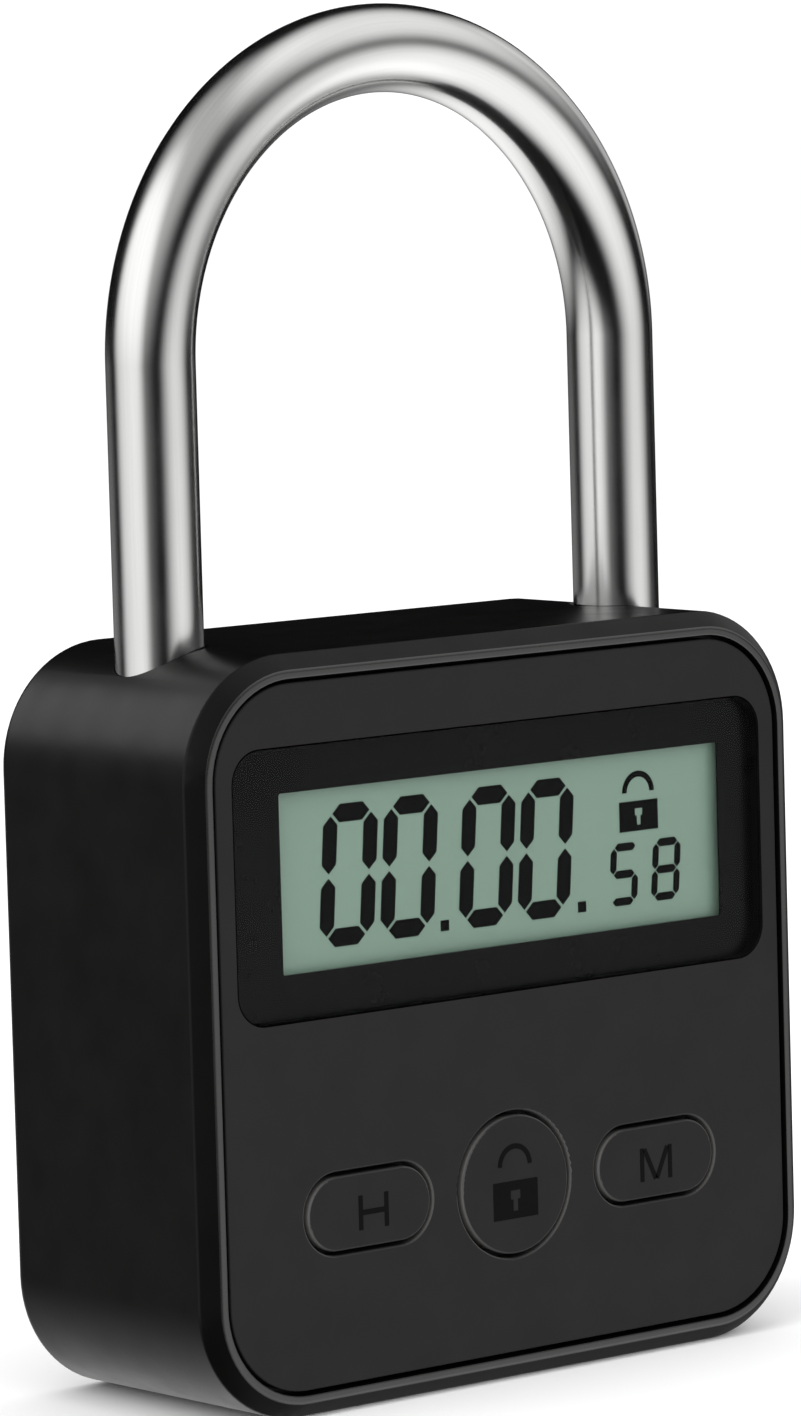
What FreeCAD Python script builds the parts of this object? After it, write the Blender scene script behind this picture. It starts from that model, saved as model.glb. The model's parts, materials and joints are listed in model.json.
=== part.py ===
import FreeCAD
import Part
import math
import os

# Countdown padlock with a motor-driven latch. Lengths are in mm.
# X runs right as seen from the front, the front faces -Y, Z is up.
# The origin is the centre of the housing's bottom face.

# Housing
body_width = 62.0
body_height = 59.0
body_depth = 24.5
body_corner_radius = 9.6
front_chamfer = 1.3
rear_edge_radius = 1.0
front_lip = 0.6
seat_ledge = 1.5
side_wall = 4.0
top_wall = 4.0
web_thickness = 1.5

# Front panel
panel_groove = 0.3
panel_inset = 0.2
panel_thickness = 1.7
panel_edge_radius = 0.15

# Display window
window_side_margin = 1.6
window_top_margin = 4.8
window_height = 21.3
window_corner_radius = 2.7
lens_thickness = 1.0
lens_gap = 0.1
mask_thickness = 0.2
view_side_border = 4.5
view_height = 14.0
view_rise = 0.05
view_corner_radius = 0.2
aperture_margin = 0.5

# Liquid crystal cell and what carries it
glass_gap = 0.05
glass_plate = 1.0
glass_side_margin = 2.05
glass_top_margin = 2.8
contact_ledge = 2.4
glass_bottom_margin = 2.8
frame_gap = 0.1
frame_wall = 1.1
backlight_thickness = 1.85
backlight_margin = 0.4
strip_height = 1.7
strip_end_gap = 1.2
foot_inset = 5.95
foot_tail = 0.6
foot_width = 2.4
foot_thickness = 0.9
foot_hook = 0.35
foot_slot_gap = 0.1

# Circuit board
board_thickness = 1.2
board_gap = 0.4
board_clearance = 1.1
board_screw_radius = 0.9
board_screw_hole_gap = 0.15
board_screw_depth = 2.0
board_screw_head_radius = 1.7
board_screw_head_height = 1.0
board_boss_wall = 1.2
upper_screw_spacing = 31.0
upper_screw_drop = 2.1
lower_screw_spacing = 40.0
lower_screw_z = 6.2
board_rest_spacing = 28.0
board_rest_below_top = 5.6
chip_x = -10.0
chip_below_top = 25.0
chip_side = 7.0
chip_thickness = 0.9
chip_leads_per_side = 8
chip_lead_width = 0.3
chip_lead_reach = 0.8
chip_lead_height = 0.2
chip_end_margin = 0.75
resistor_length = 1.6
resistor_width = 0.8
resistor_height = 0.5
resistor_spacing = 2.6
resistor_count = 6
resistor_row_x = 4.0
resistor_row_gap = 2.0
resistor_below_top = 23.0
regulator_length = 3.2
regulator_width = 2.5

# Buttons
button_row_z = 15.5
side_button_spacing = 29.74
button_gap = 0.35
round_button_radius = 5.5
side_button_length = 12.25
side_button_height = 5.8
button_proud = 0.1
button_edge_radius = 0.2
button_flange = 0.8
button_flange_reach = 1.35
key_peg_radius = 0.5
key_slot_gap = 0.15
key_peg_length = 1.5
key_peg_root = 0.2
switch_side = 5.2
switch_height = 1.6
switch_floor = 0.5
switch_round = 0.5
plunger_radius = 1.5
plunger_engaged = 0.4
running_gap = 0.05

# Charge inlet
inlet_width = 8.94
inlet_height = 3.26
inlet_depth = 7.3
inlet_recess = 0.7
inlet_wall = 0.3
inlet_slot_gap = 0.18
inlet_back = 1.2
inlet_end_gap = 0.4
inlet_roundness = 0.9
tongue_width = 6.7
tongue_thickness = 0.7
tongue_recess = 0.6
tongue_root = 0.6

# Shackle
rod_diameter = 7.0
leg_edge = 7.35
leg_setback = 3.4
leg_above = 21.9
bore_gap = 0.05
bore_chamfer = 0.3
column_wall = 2.05
free_leg_depth = 11.0
release_gap = 2.0
long_leg_depth = 34.0
leg_end_chamfer = 0.8
bore_floor_gap = 0.5
column_floor = 1.5
neck_radius = 2.5
neck_shoulder = 0.4
pin_radius = 1.0
pin_below_top = 14.8
pin_gap = 0.1
pin_end_gap = 0.6
pin_chamfer = 0.2

# Shackle spring
spring_length = 13.0
spring_wire = 0.7
spring_mean_radius = 2.7
spring_turns = 6
arcs_per_turn = 3

# Latch bolt, rack and pinion
bolt_height = 3.6
bolt_width = 5.0
bolt_tip_gap = 0.45
bolt_throw = 2.6
bolt_tip_length = 10.4
bolt_tail = 13.3
tail_overlap = 1.0
channel_start = 1.1
bolt_edge = 0.3
bolt_pad = 0.35
notch_gap = 0.4
notch_end_gap = 0.15
slide_gap = 0.1
gear_module = 0.6
gear_teeth = 10
pressure_angle = 25.0
tooth_addendum = 0.85
tooth_dedendum = 1.1
gear_backlash = 0.12
rack_gaps_left = 3
rack_gaps_right = 1
pinion_reach = 4.25
pinion_end_gap = 0.1
hub_radius = 2.1
hub_height = 0.7
flank_steps = 5
rack_mouth = 0.5

# Geared motor
shaft_radius = 1.5
shaft_flat = 0.5
shaft_in_gearbox = 6.5
motor_width = 12.0
motor_depth = 10.0
gearbox_height = 9.0
gearbox_plate = 1.2
gearbox_inset = 0.4
gearbox_corner = 1.0
gearbox_bore_end_gap = 0.3
motor_height = 15.0
motor_cap_height = 1.5
motor_cap_radius = 4.0
motor_cap_chamfer = 0.4
motor_tag_width = 1.6
motor_tag_thickness = 0.4
motor_tag_length = 1.4
motor_tag_spread = 0.75
bracket_plate = 1.6
bracket_arm = 1.1
bracket_foot = 1.3
bracket_foot_height = 7.0
bracket_left_reach = 4.4
bracket_side_gap = 1.2
bracket_arm_reach = 8.0
bracket_lip = 1.6
bracket_screw_radius = 0.9
bracket_screw_head = 1.5
bracket_screw_head_height = 0.9
screw_head_chamfer = 0.35
screw_end_gap = 0.1

# Battery
battery_inlet_gap = 0.6
battery_top_gap = 0.6
battery_depth = 7.6
battery_side_gap = 0.6
battery_floor_gap = 1.0
battery_round = 1.6
battery_end_chamfer = 0.5
battery_tab_length = 2.0
battery_tab_depth = 2.2
seat_gap = 0.05

# Rear cover
cover_inset = 0.2
cover_thickness = 1.5
cover_edge = 2.5
cover_gap = 0.1
cover_chamfer = 0.3
cover_screw_edge = 4.5
cover_screw_radius = 1.25
cover_screw_hole_gap = 0.15
cover_screw_length = 5.5
cover_screw_head_radius = 2.3
cover_screw_head_height = 1.05
cover_post = 3.6
cover_post_round = 1.5
screw_recess_width = 0.55
screw_recess_length = 2.2
screw_recess_depth = 0.6

# Stack from the front face to the back
front_y = -body_depth / 2
rear_y = body_depth / 2
panel_front_y = front_y + panel_inset
panel_back_y = panel_front_y + panel_thickness
lens_back_y = panel_front_y + lens_thickness
mask_back_y = lens_back_y + mask_thickness
glass_front_y = panel_back_y + glass_gap
glass_mid_y = glass_front_y + glass_plate
glass_back_y = glass_mid_y + glass_plate
backlight_back_y = glass_back_y + backlight_thickness
board_front_y = backlight_back_y + glass_gap
board_back_y = board_front_y + board_thickness
web_front_y = board_back_y + board_clearance
web_rear_y = web_front_y + web_thickness
cover_outer_y = rear_y - cover_inset
cover_inner_y = cover_outer_y - cover_thickness

# Outlines in the front view, measured in from the housing's outline
middle_z = body_height / 2
half_width = body_width / 2
half_height = body_height / 2
seat_in = front_chamfer + front_lip
panel_in = seat_in + panel_groove
front_pocket_in = panel_in + seat_ledge
cover_recess_in = cover_edge
cover_in = cover_edge + cover_gap

# Display places
window_width = body_width - 2 * (panel_in + window_side_margin)
window_centre_z = body_height - panel_in - window_top_margin - window_height / 2
view_width = window_width - 2 * view_side_border
view_centre_z = window_centre_z + view_rise
glass_half_x = view_width / 2 + glass_side_margin
glass_bottom_z = view_centre_z - view_height / 2 - glass_bottom_margin
glass_top_z = view_centre_z + view_height / 2 + glass_top_margin
upper_screw_z = glass_bottom_z - frame_gap - frame_wall - board_screw_head_radius - upper_screw_drop
board_rest_z = body_height - board_rest_below_top

# Shackle places
rod_radius = rod_diameter / 2
bore_radius = rod_radius + bore_gap
leg_x = half_width - leg_edge
leg_y = web_rear_y + leg_setback
bow_z = body_height + leg_above
lift = free_leg_depth + release_gap
free_end_z = body_height - free_leg_depth
long_end_z = body_height - long_leg_depth
long_bore_z = long_end_z - spring_length
free_bore_z = free_end_z - bore_floor_gap
column_inner_x = leg_x - bore_radius - column_wall
column_rear_y = leg_y + bore_radius + column_wall - bore_floor_gap
pin_x = -leg_x + neck_radius + bore_gap + pin_radius
pin_z = body_height - pin_below_top
neck_top_z = pin_z + pin_radius + pin_gap
neck_bottom_z = pin_z - pin_radius - lift - pin_gap

# Latch places
ceiling_z = body_height - top_wall
bolt_top_z = ceiling_z - bolt_pad - running_gap
bolt_bottom_z = bolt_top_z - bolt_height
bolt_front_y = web_rear_y + slide_gap
bolt_tip_x = leg_x - bore_radius - bolt_tip_gap
notch_flat_x = bolt_tip_x + bolt_throw + notch_end_gap
pitch_radius = gear_module * gear_teeth / 2
pitch = math.pi * gear_module
tip_radius = pitch_radius + tooth_addendum * gear_module
root_radius = pitch_radius - tooth_dedendum * gear_module
pinion_x = bolt_tip_x - bolt_tip_length - pinion_reach
pinion_y = (web_rear_y + cover_inner_y) / 2
rack_pitch_y = pinion_y - pitch_radius
rack_tip_y = rack_pitch_y + tooth_addendum * gear_module
rack_root_y = rack_pitch_y - tooth_dedendum * gear_module
bracket_top_z = bolt_bottom_z - hub_height - pinion_end_gap
gearbox_top_z = bracket_top_z - bracket_plate
gearbox_bottom_z = gearbox_top_z - gearbox_height
motor_bottom_z = gearbox_bottom_z - motor_height
bracket_foot_z = gearbox_top_z - bracket_foot_height
battery_left_x = -column_inner_x + battery_side_gap
battery_right_x = -inlet_width / 2 - battery_inlet_gap
battery_width = battery_right_x - battery_left_x
battery_bottom_z = side_wall + battery_floor_gap
battery_top_z = bracket_foot_z - battery_top_gap - battery_tab_length

TINY = 1e-6
EDGE_REACH = 1e-4
OVERRUN = 1.0
BITE = 0.2
V = FreeCAD.Vector


def outline(half_u, half_w, radius, place):
    """Face with four round corners; place turns (u, w) into a point in space."""
    arcs = []
    for quarter in range(4):
        centre_u = (half_u - radius) * (1 if quarter in (0, 3) else -1)
        centre_w = (half_w - radius) * (1 if quarter in (0, 1) else -1)
        turns = [math.radians(90 * quarter + step) for step in (0, 45, 90)]
        spots = [(centre_u + radius * math.cos(t), centre_w + radius * math.sin(t)) for t in turns]
        arcs.append([place(u, w) for u, w in spots])
    edges = []
    for index, arc in enumerate(arcs):
        following = arcs[(index + 1) % 4][0]
        edges.append(Part.Arc(*arc).toShape())
        if (following - arc[2]).Length > TINY:
            edges.append(Part.LineSegment(arc[2], following).toShape())
    return Part.Face(Part.Wire(edges))


def front_plate(half_x, half_z, radius, y_from, y_to, x_mid=0.0, z_mid=middle_z):
    """Round-cornered plate in the front view, from y_from back to y_to."""
    face = outline(half_x, half_z, radius, lambda u, w: V(x_mid + u, y_from, z_mid + w))
    return face.extrude(V(0, y_to - y_from, 0))


def upright(half_x, half_y, radius, z_from, z_to, x_mid, y_mid):
    """Round-cornered column in the plan view, from z_from up to z_to."""
    face = outline(half_x, half_y, radius, lambda u, w: V(x_mid + u, y_mid + w, z_from))
    return face.extrude(V(0, 0, z_to - z_from))


def inset_plate(inset, y_from, y_to):
    """Plate that follows the housing's outline at a steady distance inside it."""
    radius = body_corner_radius - inset
    return front_plate(half_width - inset, half_height - inset, radius, y_from, y_to)


def box(x_from, x_to, y_from, y_to, z_from, z_to):
    return Part.makeBox(x_to - x_from, y_to - y_from, z_to - z_from, V(x_from, y_from, z_from))


def rod_z(radius, x, y, z_from, z_to):
    return Part.makeCylinder(radius, z_to - z_from, V(x, y, z_from), V(0, 0, 1))


def rod_y(radius, x, z, y_from, y_to):
    return Part.makeCylinder(radius, y_to - y_from, V(x, y_from, z), V(0, 1, 0))


def flat_edges(shape, y):
    """Edges that lie wholly in the plane at y."""
    near = [e for e in shape.Edges if abs(e.BoundBox.YMin - y) < EDGE_REACH]
    return [e for e in near if abs(e.BoundBox.YMax - y) < EDGE_REACH]


def level_edges(shape, z):
    """Edges that lie wholly in the plane at z."""
    near = [e for e in shape.Edges if abs(e.BoundBox.ZMin - z) < EDGE_REACH]
    return [e for e in near if abs(e.BoundBox.ZMax - z) < EDGE_REACH]


def save(name, shape):
    solids = shape.Solids
    kept = solids[0] if len(solids) == 1 else Part.makeCompound(solids)
    kept.exportStep("parts/" + name + ".step")
    print(name, "solids", len(solids), "valid", kept.isValid(), "volume", round(kept.Volume, 2))


def board_screw_places():
    places = []
    for side in (-1, 1):
        places.append((side * upper_screw_spacing / 2, upper_screw_z))
        places.append((side * lower_screw_spacing / 2, lower_screw_z))
    return places


def cover_screw_places():
    reach_x = half_width - cover_recess_in - cover_screw_edge
    reach_z = half_height - cover_recess_in - cover_screw_edge
    return [(sx * reach_x, middle_z + sz * reach_z) for sx in (-1, 1) for sz in (-1, 1)]


def bracket_screw_places():
    x_left, x_right = bracket_span()
    arm_out = motor_width / 2 + running_gap + bracket_arm
    left_x = (x_left + pinion_x - arm_out) / 2
    right_x = (x_right + pinion_x + arm_out) / 2
    screw_z = gearbox_top_z - bracket_foot_height / 2
    return [(left_x, screw_z), (right_x, screw_z)]


def housing_block():
    """Outside of the casting: round corners, front chamfer, soft rear edge."""
    block = inset_plate(0.0, front_y, rear_y)
    block = block.makeChamfer(front_chamfer, flat_edges(block, front_y))
    return block.makeFillet(rear_edge_radius, flat_edges(block, rear_y))


def leg_columns():
    """Walls round the two leg bores, standing in the rear pocket."""
    wall_x = half_width - side_wall / 2
    y_from = web_rear_y - TINY
    z_to = ceiling_z + OVERRUN
    left = box(-wall_x, -column_inner_x, y_from, column_rear_y, side_wall / 2, z_to)
    right = box(column_inner_x, wall_x, y_from, column_rear_y, free_bore_z - column_floor, z_to)
    return [left, right]


def corner_posts():
    """Posts in the rear pocket's corners that take the cover screws."""
    posts = []
    y_from = web_rear_y - TINY
    for x, z in cover_screw_places():
        post = front_plate(cover_post, cover_post, cover_post_round, y_from, cover_inner_y, x, z)
        posts.append(post)
    return posts


def board_bosses():
    """Low bosses on the web's front that carry the circuit board."""
    radius = board_screw_radius + board_boss_wall
    bosses = [rod_y(radius, x, z, board_back_y, web_front_y) for x, z in board_screw_places()]
    for side in (-1, 1):
        bosses.append(rod_y(radius, side * board_rest_spacing / 2, board_rest_z, board_back_y, web_front_y))
    return bosses


def latch_pad():
    """Flat pad under the ceiling that keeps the latch bolt down."""
    x_from = bolt_tip_x - bolt_tip_length - bolt_tail
    x_to = column_inner_x - bracket_side_gap
    z_from = ceiling_z - bolt_pad
    return box(x_from, x_to, web_rear_y - TINY, rack_root_y, z_from, ceiling_z + OVERRUN)


def leg_bores():
    """Two bores for the legs, with a small chamfer at the mouth."""
    cuts = []
    mouth_z = body_height - bore_chamfer
    for x, z_from in ((-leg_x, long_bore_z), (leg_x, free_bore_z)):
        cuts.append(rod_z(bore_radius, x, leg_y, z_from, body_height + OVERRUN))
        wide = bore_radius + bore_chamfer
        cuts.append(Part.makeCone(bore_radius, wide, bore_chamfer, V(x, leg_y, mouth_z)))
    return cuts


def inlet_slot():
    """Slot through the bottom wall and the web for the charge inlet."""
    middle_y = board_back_y + inlet_height / 2
    half_y = inlet_height / 2 + inlet_slot_gap
    half_x = inlet_width / 2 + inlet_slot_gap
    radius = half_y * inlet_roundness
    through = upright(half_x, half_y, radius, -OVERRUN, side_wall + OVERRUN, 0, middle_y)
    z_to = inlet_recess + inlet_depth + inlet_end_gap
    window = box(-half_x, half_x, web_front_y - OVERRUN / 2, middle_y + half_y, side_wall, z_to)
    return [through, window]


def make_body_shell():
    shell = housing_block()
    shell = shell.cut(inset_plate(seat_in, front_y - OVERRUN, panel_back_y))
    shell = shell.cut(inset_plate(front_pocket_in, panel_back_y - TINY, web_front_y))
    shell = shell.cut(inset_plate(cover_recess_in, cover_inner_y, rear_y + OVERRUN))
    pocket = inset_plate(side_wall, web_rear_y, cover_inner_y + TINY)
    shell = shell.cut(pocket)
    within = inset_plate(side_wall / 2, front_y, rear_y)
    for piece in leg_columns() + corner_posts() + board_bosses() + [latch_pad()]:
        shell = shell.fuse(piece.common(within))
    for cut in leg_bores() + inlet_slot():
        shell = shell.cut(cut)
    shell = shell.cut(bolt_window())
    pin_y = leg_y - bore_radius + pin_end_gap
    shell = shell.cut(rod_y(pin_radius, pin_x, pin_z, pin_y, column_rear_y + OVERRUN))
    for hole in shell_screw_holes():
        shell = shell.cut(hole)
    return shell.removeSplitter()


def bolt_window():
    """Opening from the latch channel into the free leg's bore."""
    half = bolt_width / 2 + slide_gap
    z_from = bolt_bottom_z - slide_gap
    z_to = bolt_top_z + slide_gap
    return box(column_inner_x - OVERRUN, leg_x, leg_y - half, leg_y + half, z_from, z_to)


def shell_screw_holes():
    holes = []
    board_hole_y = board_back_y + board_screw_depth
    for x, z in board_screw_places():
        holes.append(rod_y(board_screw_radius, x, z, board_back_y - OVERRUN, board_hole_y))
    cover_hole_y = cover_outer_y - cover_screw_length
    for x, z in cover_screw_places():
        holes.append(rod_y(cover_screw_radius, x, z, cover_hole_y, cover_inner_y + OVERRUN))
    for x, z in bracket_screw_places():
        holes.append(rod_y(bracket_screw_radius, x, z, web_front_y - OVERRUN, web_rear_y + OVERRUN))
    return holes


def button_opening(kind, y_from, y_to, grow):
    """Outline of a button, grown by grow all round, as a solid."""
    if kind == "lock":
        return rod_y(round_button_radius + grow, 0, button_row_z, y_from, y_to)
    side = -1 if kind == "hour" else 1
    half_z = side_button_height / 2 + grow
    half_x = side_button_length / 2 + grow
    x_mid = side * side_button_spacing / 2
    return front_plate(half_x, half_z, half_z, y_from, y_to, x_mid, button_row_z)


def key_peg_z():
    return button_row_z - round_button_radius - button_flange_reach


def make_front_panel():
    panel = inset_plate(panel_in, panel_front_y, panel_back_y)
    panel = panel.makeFillet(panel_edge_radius, flat_edges(panel, panel_front_y))
    y_from = panel_front_y - OVERRUN
    y_to = panel_back_y + OVERRUN
    panel = panel.cut(window_plate(0.0, y_from, mask_back_y))
    panel = panel.cut(view_plate(aperture_margin, aperture_margin, mask_back_y - OVERRUN, y_to))
    for kind in ("hour", "lock", "minute"):
        panel = panel.cut(button_opening(kind, y_from, y_to, button_gap))
    reach = round_button_radius + 2 * button_gap
    rims = [e for e in flat_edges(panel, panel_front_y) if abs(e.CenterOfMass.z - button_row_z) < reach]
    rims = [e for e in rims if abs(e.CenterOfMass.x) < half_width - front_pocket_in]
    panel = panel.makeFillet(button_edge_radius, rims)
    peg_y = panel_back_y + key_peg_length
    peg = rod_y(key_peg_radius, 0, key_peg_z(), panel_back_y - key_peg_root, peg_y)
    return panel.fuse(peg).removeSplitter()


def window_plate(inset, y_from, y_to):
    """Plate with the display window's outline, set in by inset."""
    half_x = window_width / 2 - inset
    half_z = window_height / 2 - inset
    radius = window_corner_radius - inset
    return front_plate(half_x, half_z, radius, y_from, y_to, 0, window_centre_z)


def view_plate(grow, radius, y_from, y_to):
    """Plate with the visible display's outline, grown by grow."""
    half_x = view_width / 2 + grow
    half_z = view_height / 2 + grow
    return front_plate(half_x, half_z, radius, y_from, y_to, 0, view_centre_z)


def make_display_lens():
    lens = window_plate(lens_gap, panel_front_y, lens_back_y)
    return lens.makeFillet(panel_edge_radius, flat_edges(lens, panel_front_y))


def make_display_mask():
    mask = window_plate(lens_gap, lens_back_y, mask_back_y)
    view = view_plate(0.0, view_corner_radius, lens_back_y - OVERRUN, mask_back_y + OVERRUN)
    return mask.cut(view)


def make_lcd_glass():
    """Two glass plates; the front one runs on below as the contact ledge."""
    front = box(-glass_half_x, glass_half_x, glass_front_y, glass_mid_y, glass_bottom_z, glass_top_z)
    back_from = glass_bottom_z + contact_ledge
    back = box(-glass_half_x, glass_half_x, glass_mid_y, glass_back_y, back_from, glass_top_z)
    return front.fuse(back).removeSplitter()


def make_lcd_backlight():
    half_x = glass_half_x - backlight_margin
    z_from = glass_bottom_z + contact_ledge + backlight_margin / 2
    z_to = glass_top_z - backlight_margin
    half_z = (z_to - z_from) / 2
    z_mid = (z_to + z_from) / 2
    return front_plate(half_x, half_z, backlight_margin, glass_back_y, backlight_back_y, 0, z_mid)


def frame_bounds():
    """Half width, half height and centre z of the display frame's opening."""
    half_z = (glass_top_z - glass_bottom_z) / 2
    return glass_half_x + frame_gap, half_z + frame_gap, (glass_top_z + glass_bottom_z) / 2


def foot_places():
    half_x, half_z, z_mid = frame_bounds()
    reach = half_z + frame_wall / 2
    foot_x = half_x + frame_wall - foot_inset
    return [(side * foot_x, z_mid + end * reach, end) for side in (-1, 1) for end in (-1, 1)]


def make_lcd_frame():
    half_x, half_z, z_mid = frame_bounds()
    outer_x = half_x + frame_wall
    outer_z = half_z + frame_wall
    y_cut = (glass_front_y - OVERRUN, board_front_y + OVERRUN)
    frame = front_plate(outer_x, outer_z, frame_wall, glass_front_y, board_front_y, 0, z_mid)
    frame = frame.cut(front_plate(half_x, half_z, frame_gap, *y_cut, 0, z_mid))
    half_foot = foot_width / 2
    half_stem = foot_thickness / 2
    y_tip = board_back_y + foot_tail
    for x, z, end in foot_places():
        y_root = board_front_y - foot_tail
        stem = box(x - half_foot, x + half_foot, y_root, y_tip, z - half_stem, z + half_stem)
        outer = z + end * (half_stem + foot_hook)
        hook = box(x - half_foot, x + half_foot, board_back_y, y_tip, min(z, outer), max(z, outer))
        frame = frame.fuse(stem).fuse(hook)
    return frame.removeSplitter()


def make_contact_strip():
    half_x = glass_half_x - strip_end_gap
    z_low = glass_bottom_z + (contact_ledge - strip_height) / 2
    return box(-half_x, half_x, glass_mid_y, board_front_y, z_low, z_low + strip_height)


def make_main_board():
    inset = front_pocket_in + board_gap
    board = inset_plate(inset, board_front_y, board_back_y)
    y_from = board_front_y - OVERRUN
    y_to = board_back_y + OVERRUN
    for x, z in board_screw_places():
        board = board.cut(rod_y(board_screw_radius + board_screw_hole_gap, x, z, y_from, y_to))
    half_foot = foot_width / 2 + foot_slot_gap
    half_slot = foot_thickness / 2 + foot_slot_gap
    for x, z, end in foot_places():
        slot = box(x - half_foot, x + half_foot, y_from, y_to, z - half_slot, z + half_slot)
        board = board.cut(slot)
    return board


def make_controller_chip():
    """Flat chip with gull-wing leads on its two upright sides."""
    z_mid = body_height - chip_below_top
    half = chip_side / 2
    y_low = board_back_y + chip_lead_height / 2
    y_high = board_back_y + chip_thickness
    y_lead = board_back_y + chip_lead_height
    body = front_plate(half, half, chip_lead_width, y_low, y_high, chip_x, z_mid)
    x_from = chip_x - half - chip_lead_reach
    x_to = chip_x + half + chip_lead_reach
    lead_pitch = (chip_side - 2 * chip_end_margin) / (chip_leads_per_side - 1)
    for index in range(chip_leads_per_side):
        low = z_mid - half + chip_end_margin + lead_pitch * index - chip_lead_width / 2
        lead = box(x_from, x_to, board_back_y, y_lead, low, low + chip_lead_width)
        body = body.fuse(lead)
    return body.removeSplitter()


def make_board_components():
    """Two rows of small parts and one flat regulator, soldered on the board's back."""
    pieces = []
    z_top = body_height - resistor_below_top
    y_top = board_back_y + resistor_height
    z_next = z_top - resistor_width - resistor_row_gap
    for index in range(resistor_count):
        x = resistor_row_x + resistor_spacing * index
        for z in (z_top, z_next):
            pieces.append(box(x, x + resistor_length, board_back_y, y_top, z, z + resistor_width))
    x_from = resistor_row_x + (resistor_spacing * resistor_count - regulator_length) / 2
    z_from = z_top + resistor_width + resistor_row_gap
    y_top = board_back_y + chip_thickness
    x_to = x_from + regulator_length
    pieces.append(box(x_from, x_to, board_back_y, y_top, z_from, z_from + regulator_width))
    return Part.makeCompound(pieces)


def button_x(kind):
    return {"hour": -1, "lock": 0, "minute": 1}[kind] * side_button_spacing / 2


def make_tact_switches():
    """Three low switches: square body with a round well for the plunger."""
    bodies = []
    half = switch_side / 2
    y_top = board_front_y - switch_height
    y_floor = board_front_y - switch_floor
    for kind in ("hour", "lock", "minute"):
        x = button_x(kind)
        body = front_plate(half, half, switch_round, y_top, board_front_y, x, button_row_z)
        well = rod_y(plunger_radius + running_gap, x, button_row_z, y_top - OVERRUN, y_floor)
        bodies.append(body.cut(well))
    return Part.makeCompound(bodies)


def flange_back_y():
    return panel_back_y + running_gap + button_flange


def make_button(kind):
    front = panel_front_y - button_proud
    flange_front_y = panel_back_y + running_gap
    cap = button_opening(kind, front, flange_front_y + BITE, 0.0)
    cap = cap.makeFillet(button_edge_radius, flat_edges(cap, front))
    flange = button_opening(kind, flange_front_y, flange_back_y(), button_flange_reach)
    if kind == "lock":
        reach = key_peg_radius + key_slot_gap
        slot_top = key_peg_z() + reach
        slot_bottom = key_peg_z() - button_flange_reach - OVERRUN
        y_to = flange_back_y() + OVERRUN
        flange = flange.cut(box(-reach, reach, panel_back_y, y_to, slot_bottom, slot_top))
    return cap.fuse(flange).removeSplitter()


def make_plunger(kind):
    x = button_x(kind)
    inner_y = board_front_y - switch_height + plunger_engaged
    return rod_y(plunger_radius, x, button_row_z, flange_back_y(), inner_y)


def make_board_screws():
    screws = []
    y_top = board_front_y - board_screw_head_height
    y_end = board_back_y + board_screw_depth
    for x, z in board_screw_places():
        head = rod_y(board_screw_head_radius, x, z, y_top, board_front_y)
        head = head.makeChamfer(screw_head_chamfer, flat_edges(head, y_top))
        shank = rod_y(board_screw_radius, x, z, board_front_y - BITE, y_end)
        screws.append(head.fuse(shank).removeSplitter())
    return Part.makeCompound(screws)


def make_charge_socket():
    """Metal sleeve with a contact tongue, open at the bottom."""
    middle_y = board_back_y + inlet_height / 2
    top = inlet_recess + inlet_depth
    half_x = inlet_width / 2
    half_y = inlet_height / 2
    sleeve = upright(half_x, half_y, half_y * inlet_roundness, inlet_recess, top, 0, middle_y)
    in_x = half_x - inlet_wall
    in_y = half_y - inlet_wall
    z_from = inlet_recess - OVERRUN
    hollow = upright(in_x, in_y, in_y * inlet_roundness, z_from, top - inlet_back, 0, middle_y)
    sleeve = sleeve.cut(hollow)
    y_from = middle_y - tongue_thickness / 2
    half_w = tongue_width / 2
    z_from = inlet_recess + tongue_recess
    tongue = box(-half_w, half_w, y_from, y_from + tongue_thickness, z_from, top - tongue_root)
    return sleeve.fuse(tongue).removeSplitter()


def make_shackle():
    """One bent rod: long leg on the left, free leg with its notch on the right."""
    bow = Part.makeTorus(leg_x, rod_radius, V(0, leg_y, bow_z), V(0, 1, 0), 0, 360, 360)
    reach = leg_x + rod_diameter
    y_from = leg_y - rod_diameter
    upper = box(-reach, reach, y_from, leg_y + rod_diameter, bow_z, bow_z + reach)
    bow = bow.common(upper)
    long_leg = rod_z(rod_radius, -leg_x, leg_y, long_end_z, bow_z)
    long_leg = long_leg.makeChamfer(leg_end_chamfer, level_edges(long_leg, long_end_z))
    free_leg = rod_z(rod_radius, leg_x, leg_y, free_end_z, bow_z)
    free_leg = free_leg.makeChamfer(leg_end_chamfer, level_edges(free_leg, free_end_z))
    long_leg = long_leg.cut(neck_ring())
    free_leg = free_leg.cut(latch_notch())
    return bow.fuse(long_leg).fuse(free_leg).removeSplitter()


def neck_ring():
    """Ring of metal turned away to leave the long leg's neck, with sloped shoulders."""
    x_in = neck_radius
    x_out = rod_radius + OVERRUN
    slope = neck_shoulder * (x_out - x_in) / (rod_radius - x_in)
    points = [V(x_in, 0, neck_bottom_z), V(x_out, 0, neck_bottom_z - slope)]
    points = points + [V(x_out, 0, neck_top_z + slope), V(x_in, 0, neck_top_z)]
    profile = Part.Face(Part.makePolygon(points + [points[0]]))
    ring = profile.revolve(V(0, 0, 0), V(0, 0, 1), 360)
    ring.translate(V(-leg_x, leg_y, 0))
    return ring


def latch_notch():
    """Flat-bottomed notch that faces the other leg."""
    z_from = bolt_bottom_z - notch_gap
    z_to = bolt_top_z + notch_gap
    y_from = leg_y - rod_diameter
    return box(leg_x - rod_diameter, notch_flat_x, y_from, leg_y + rod_diameter, z_from, z_to)


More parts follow.
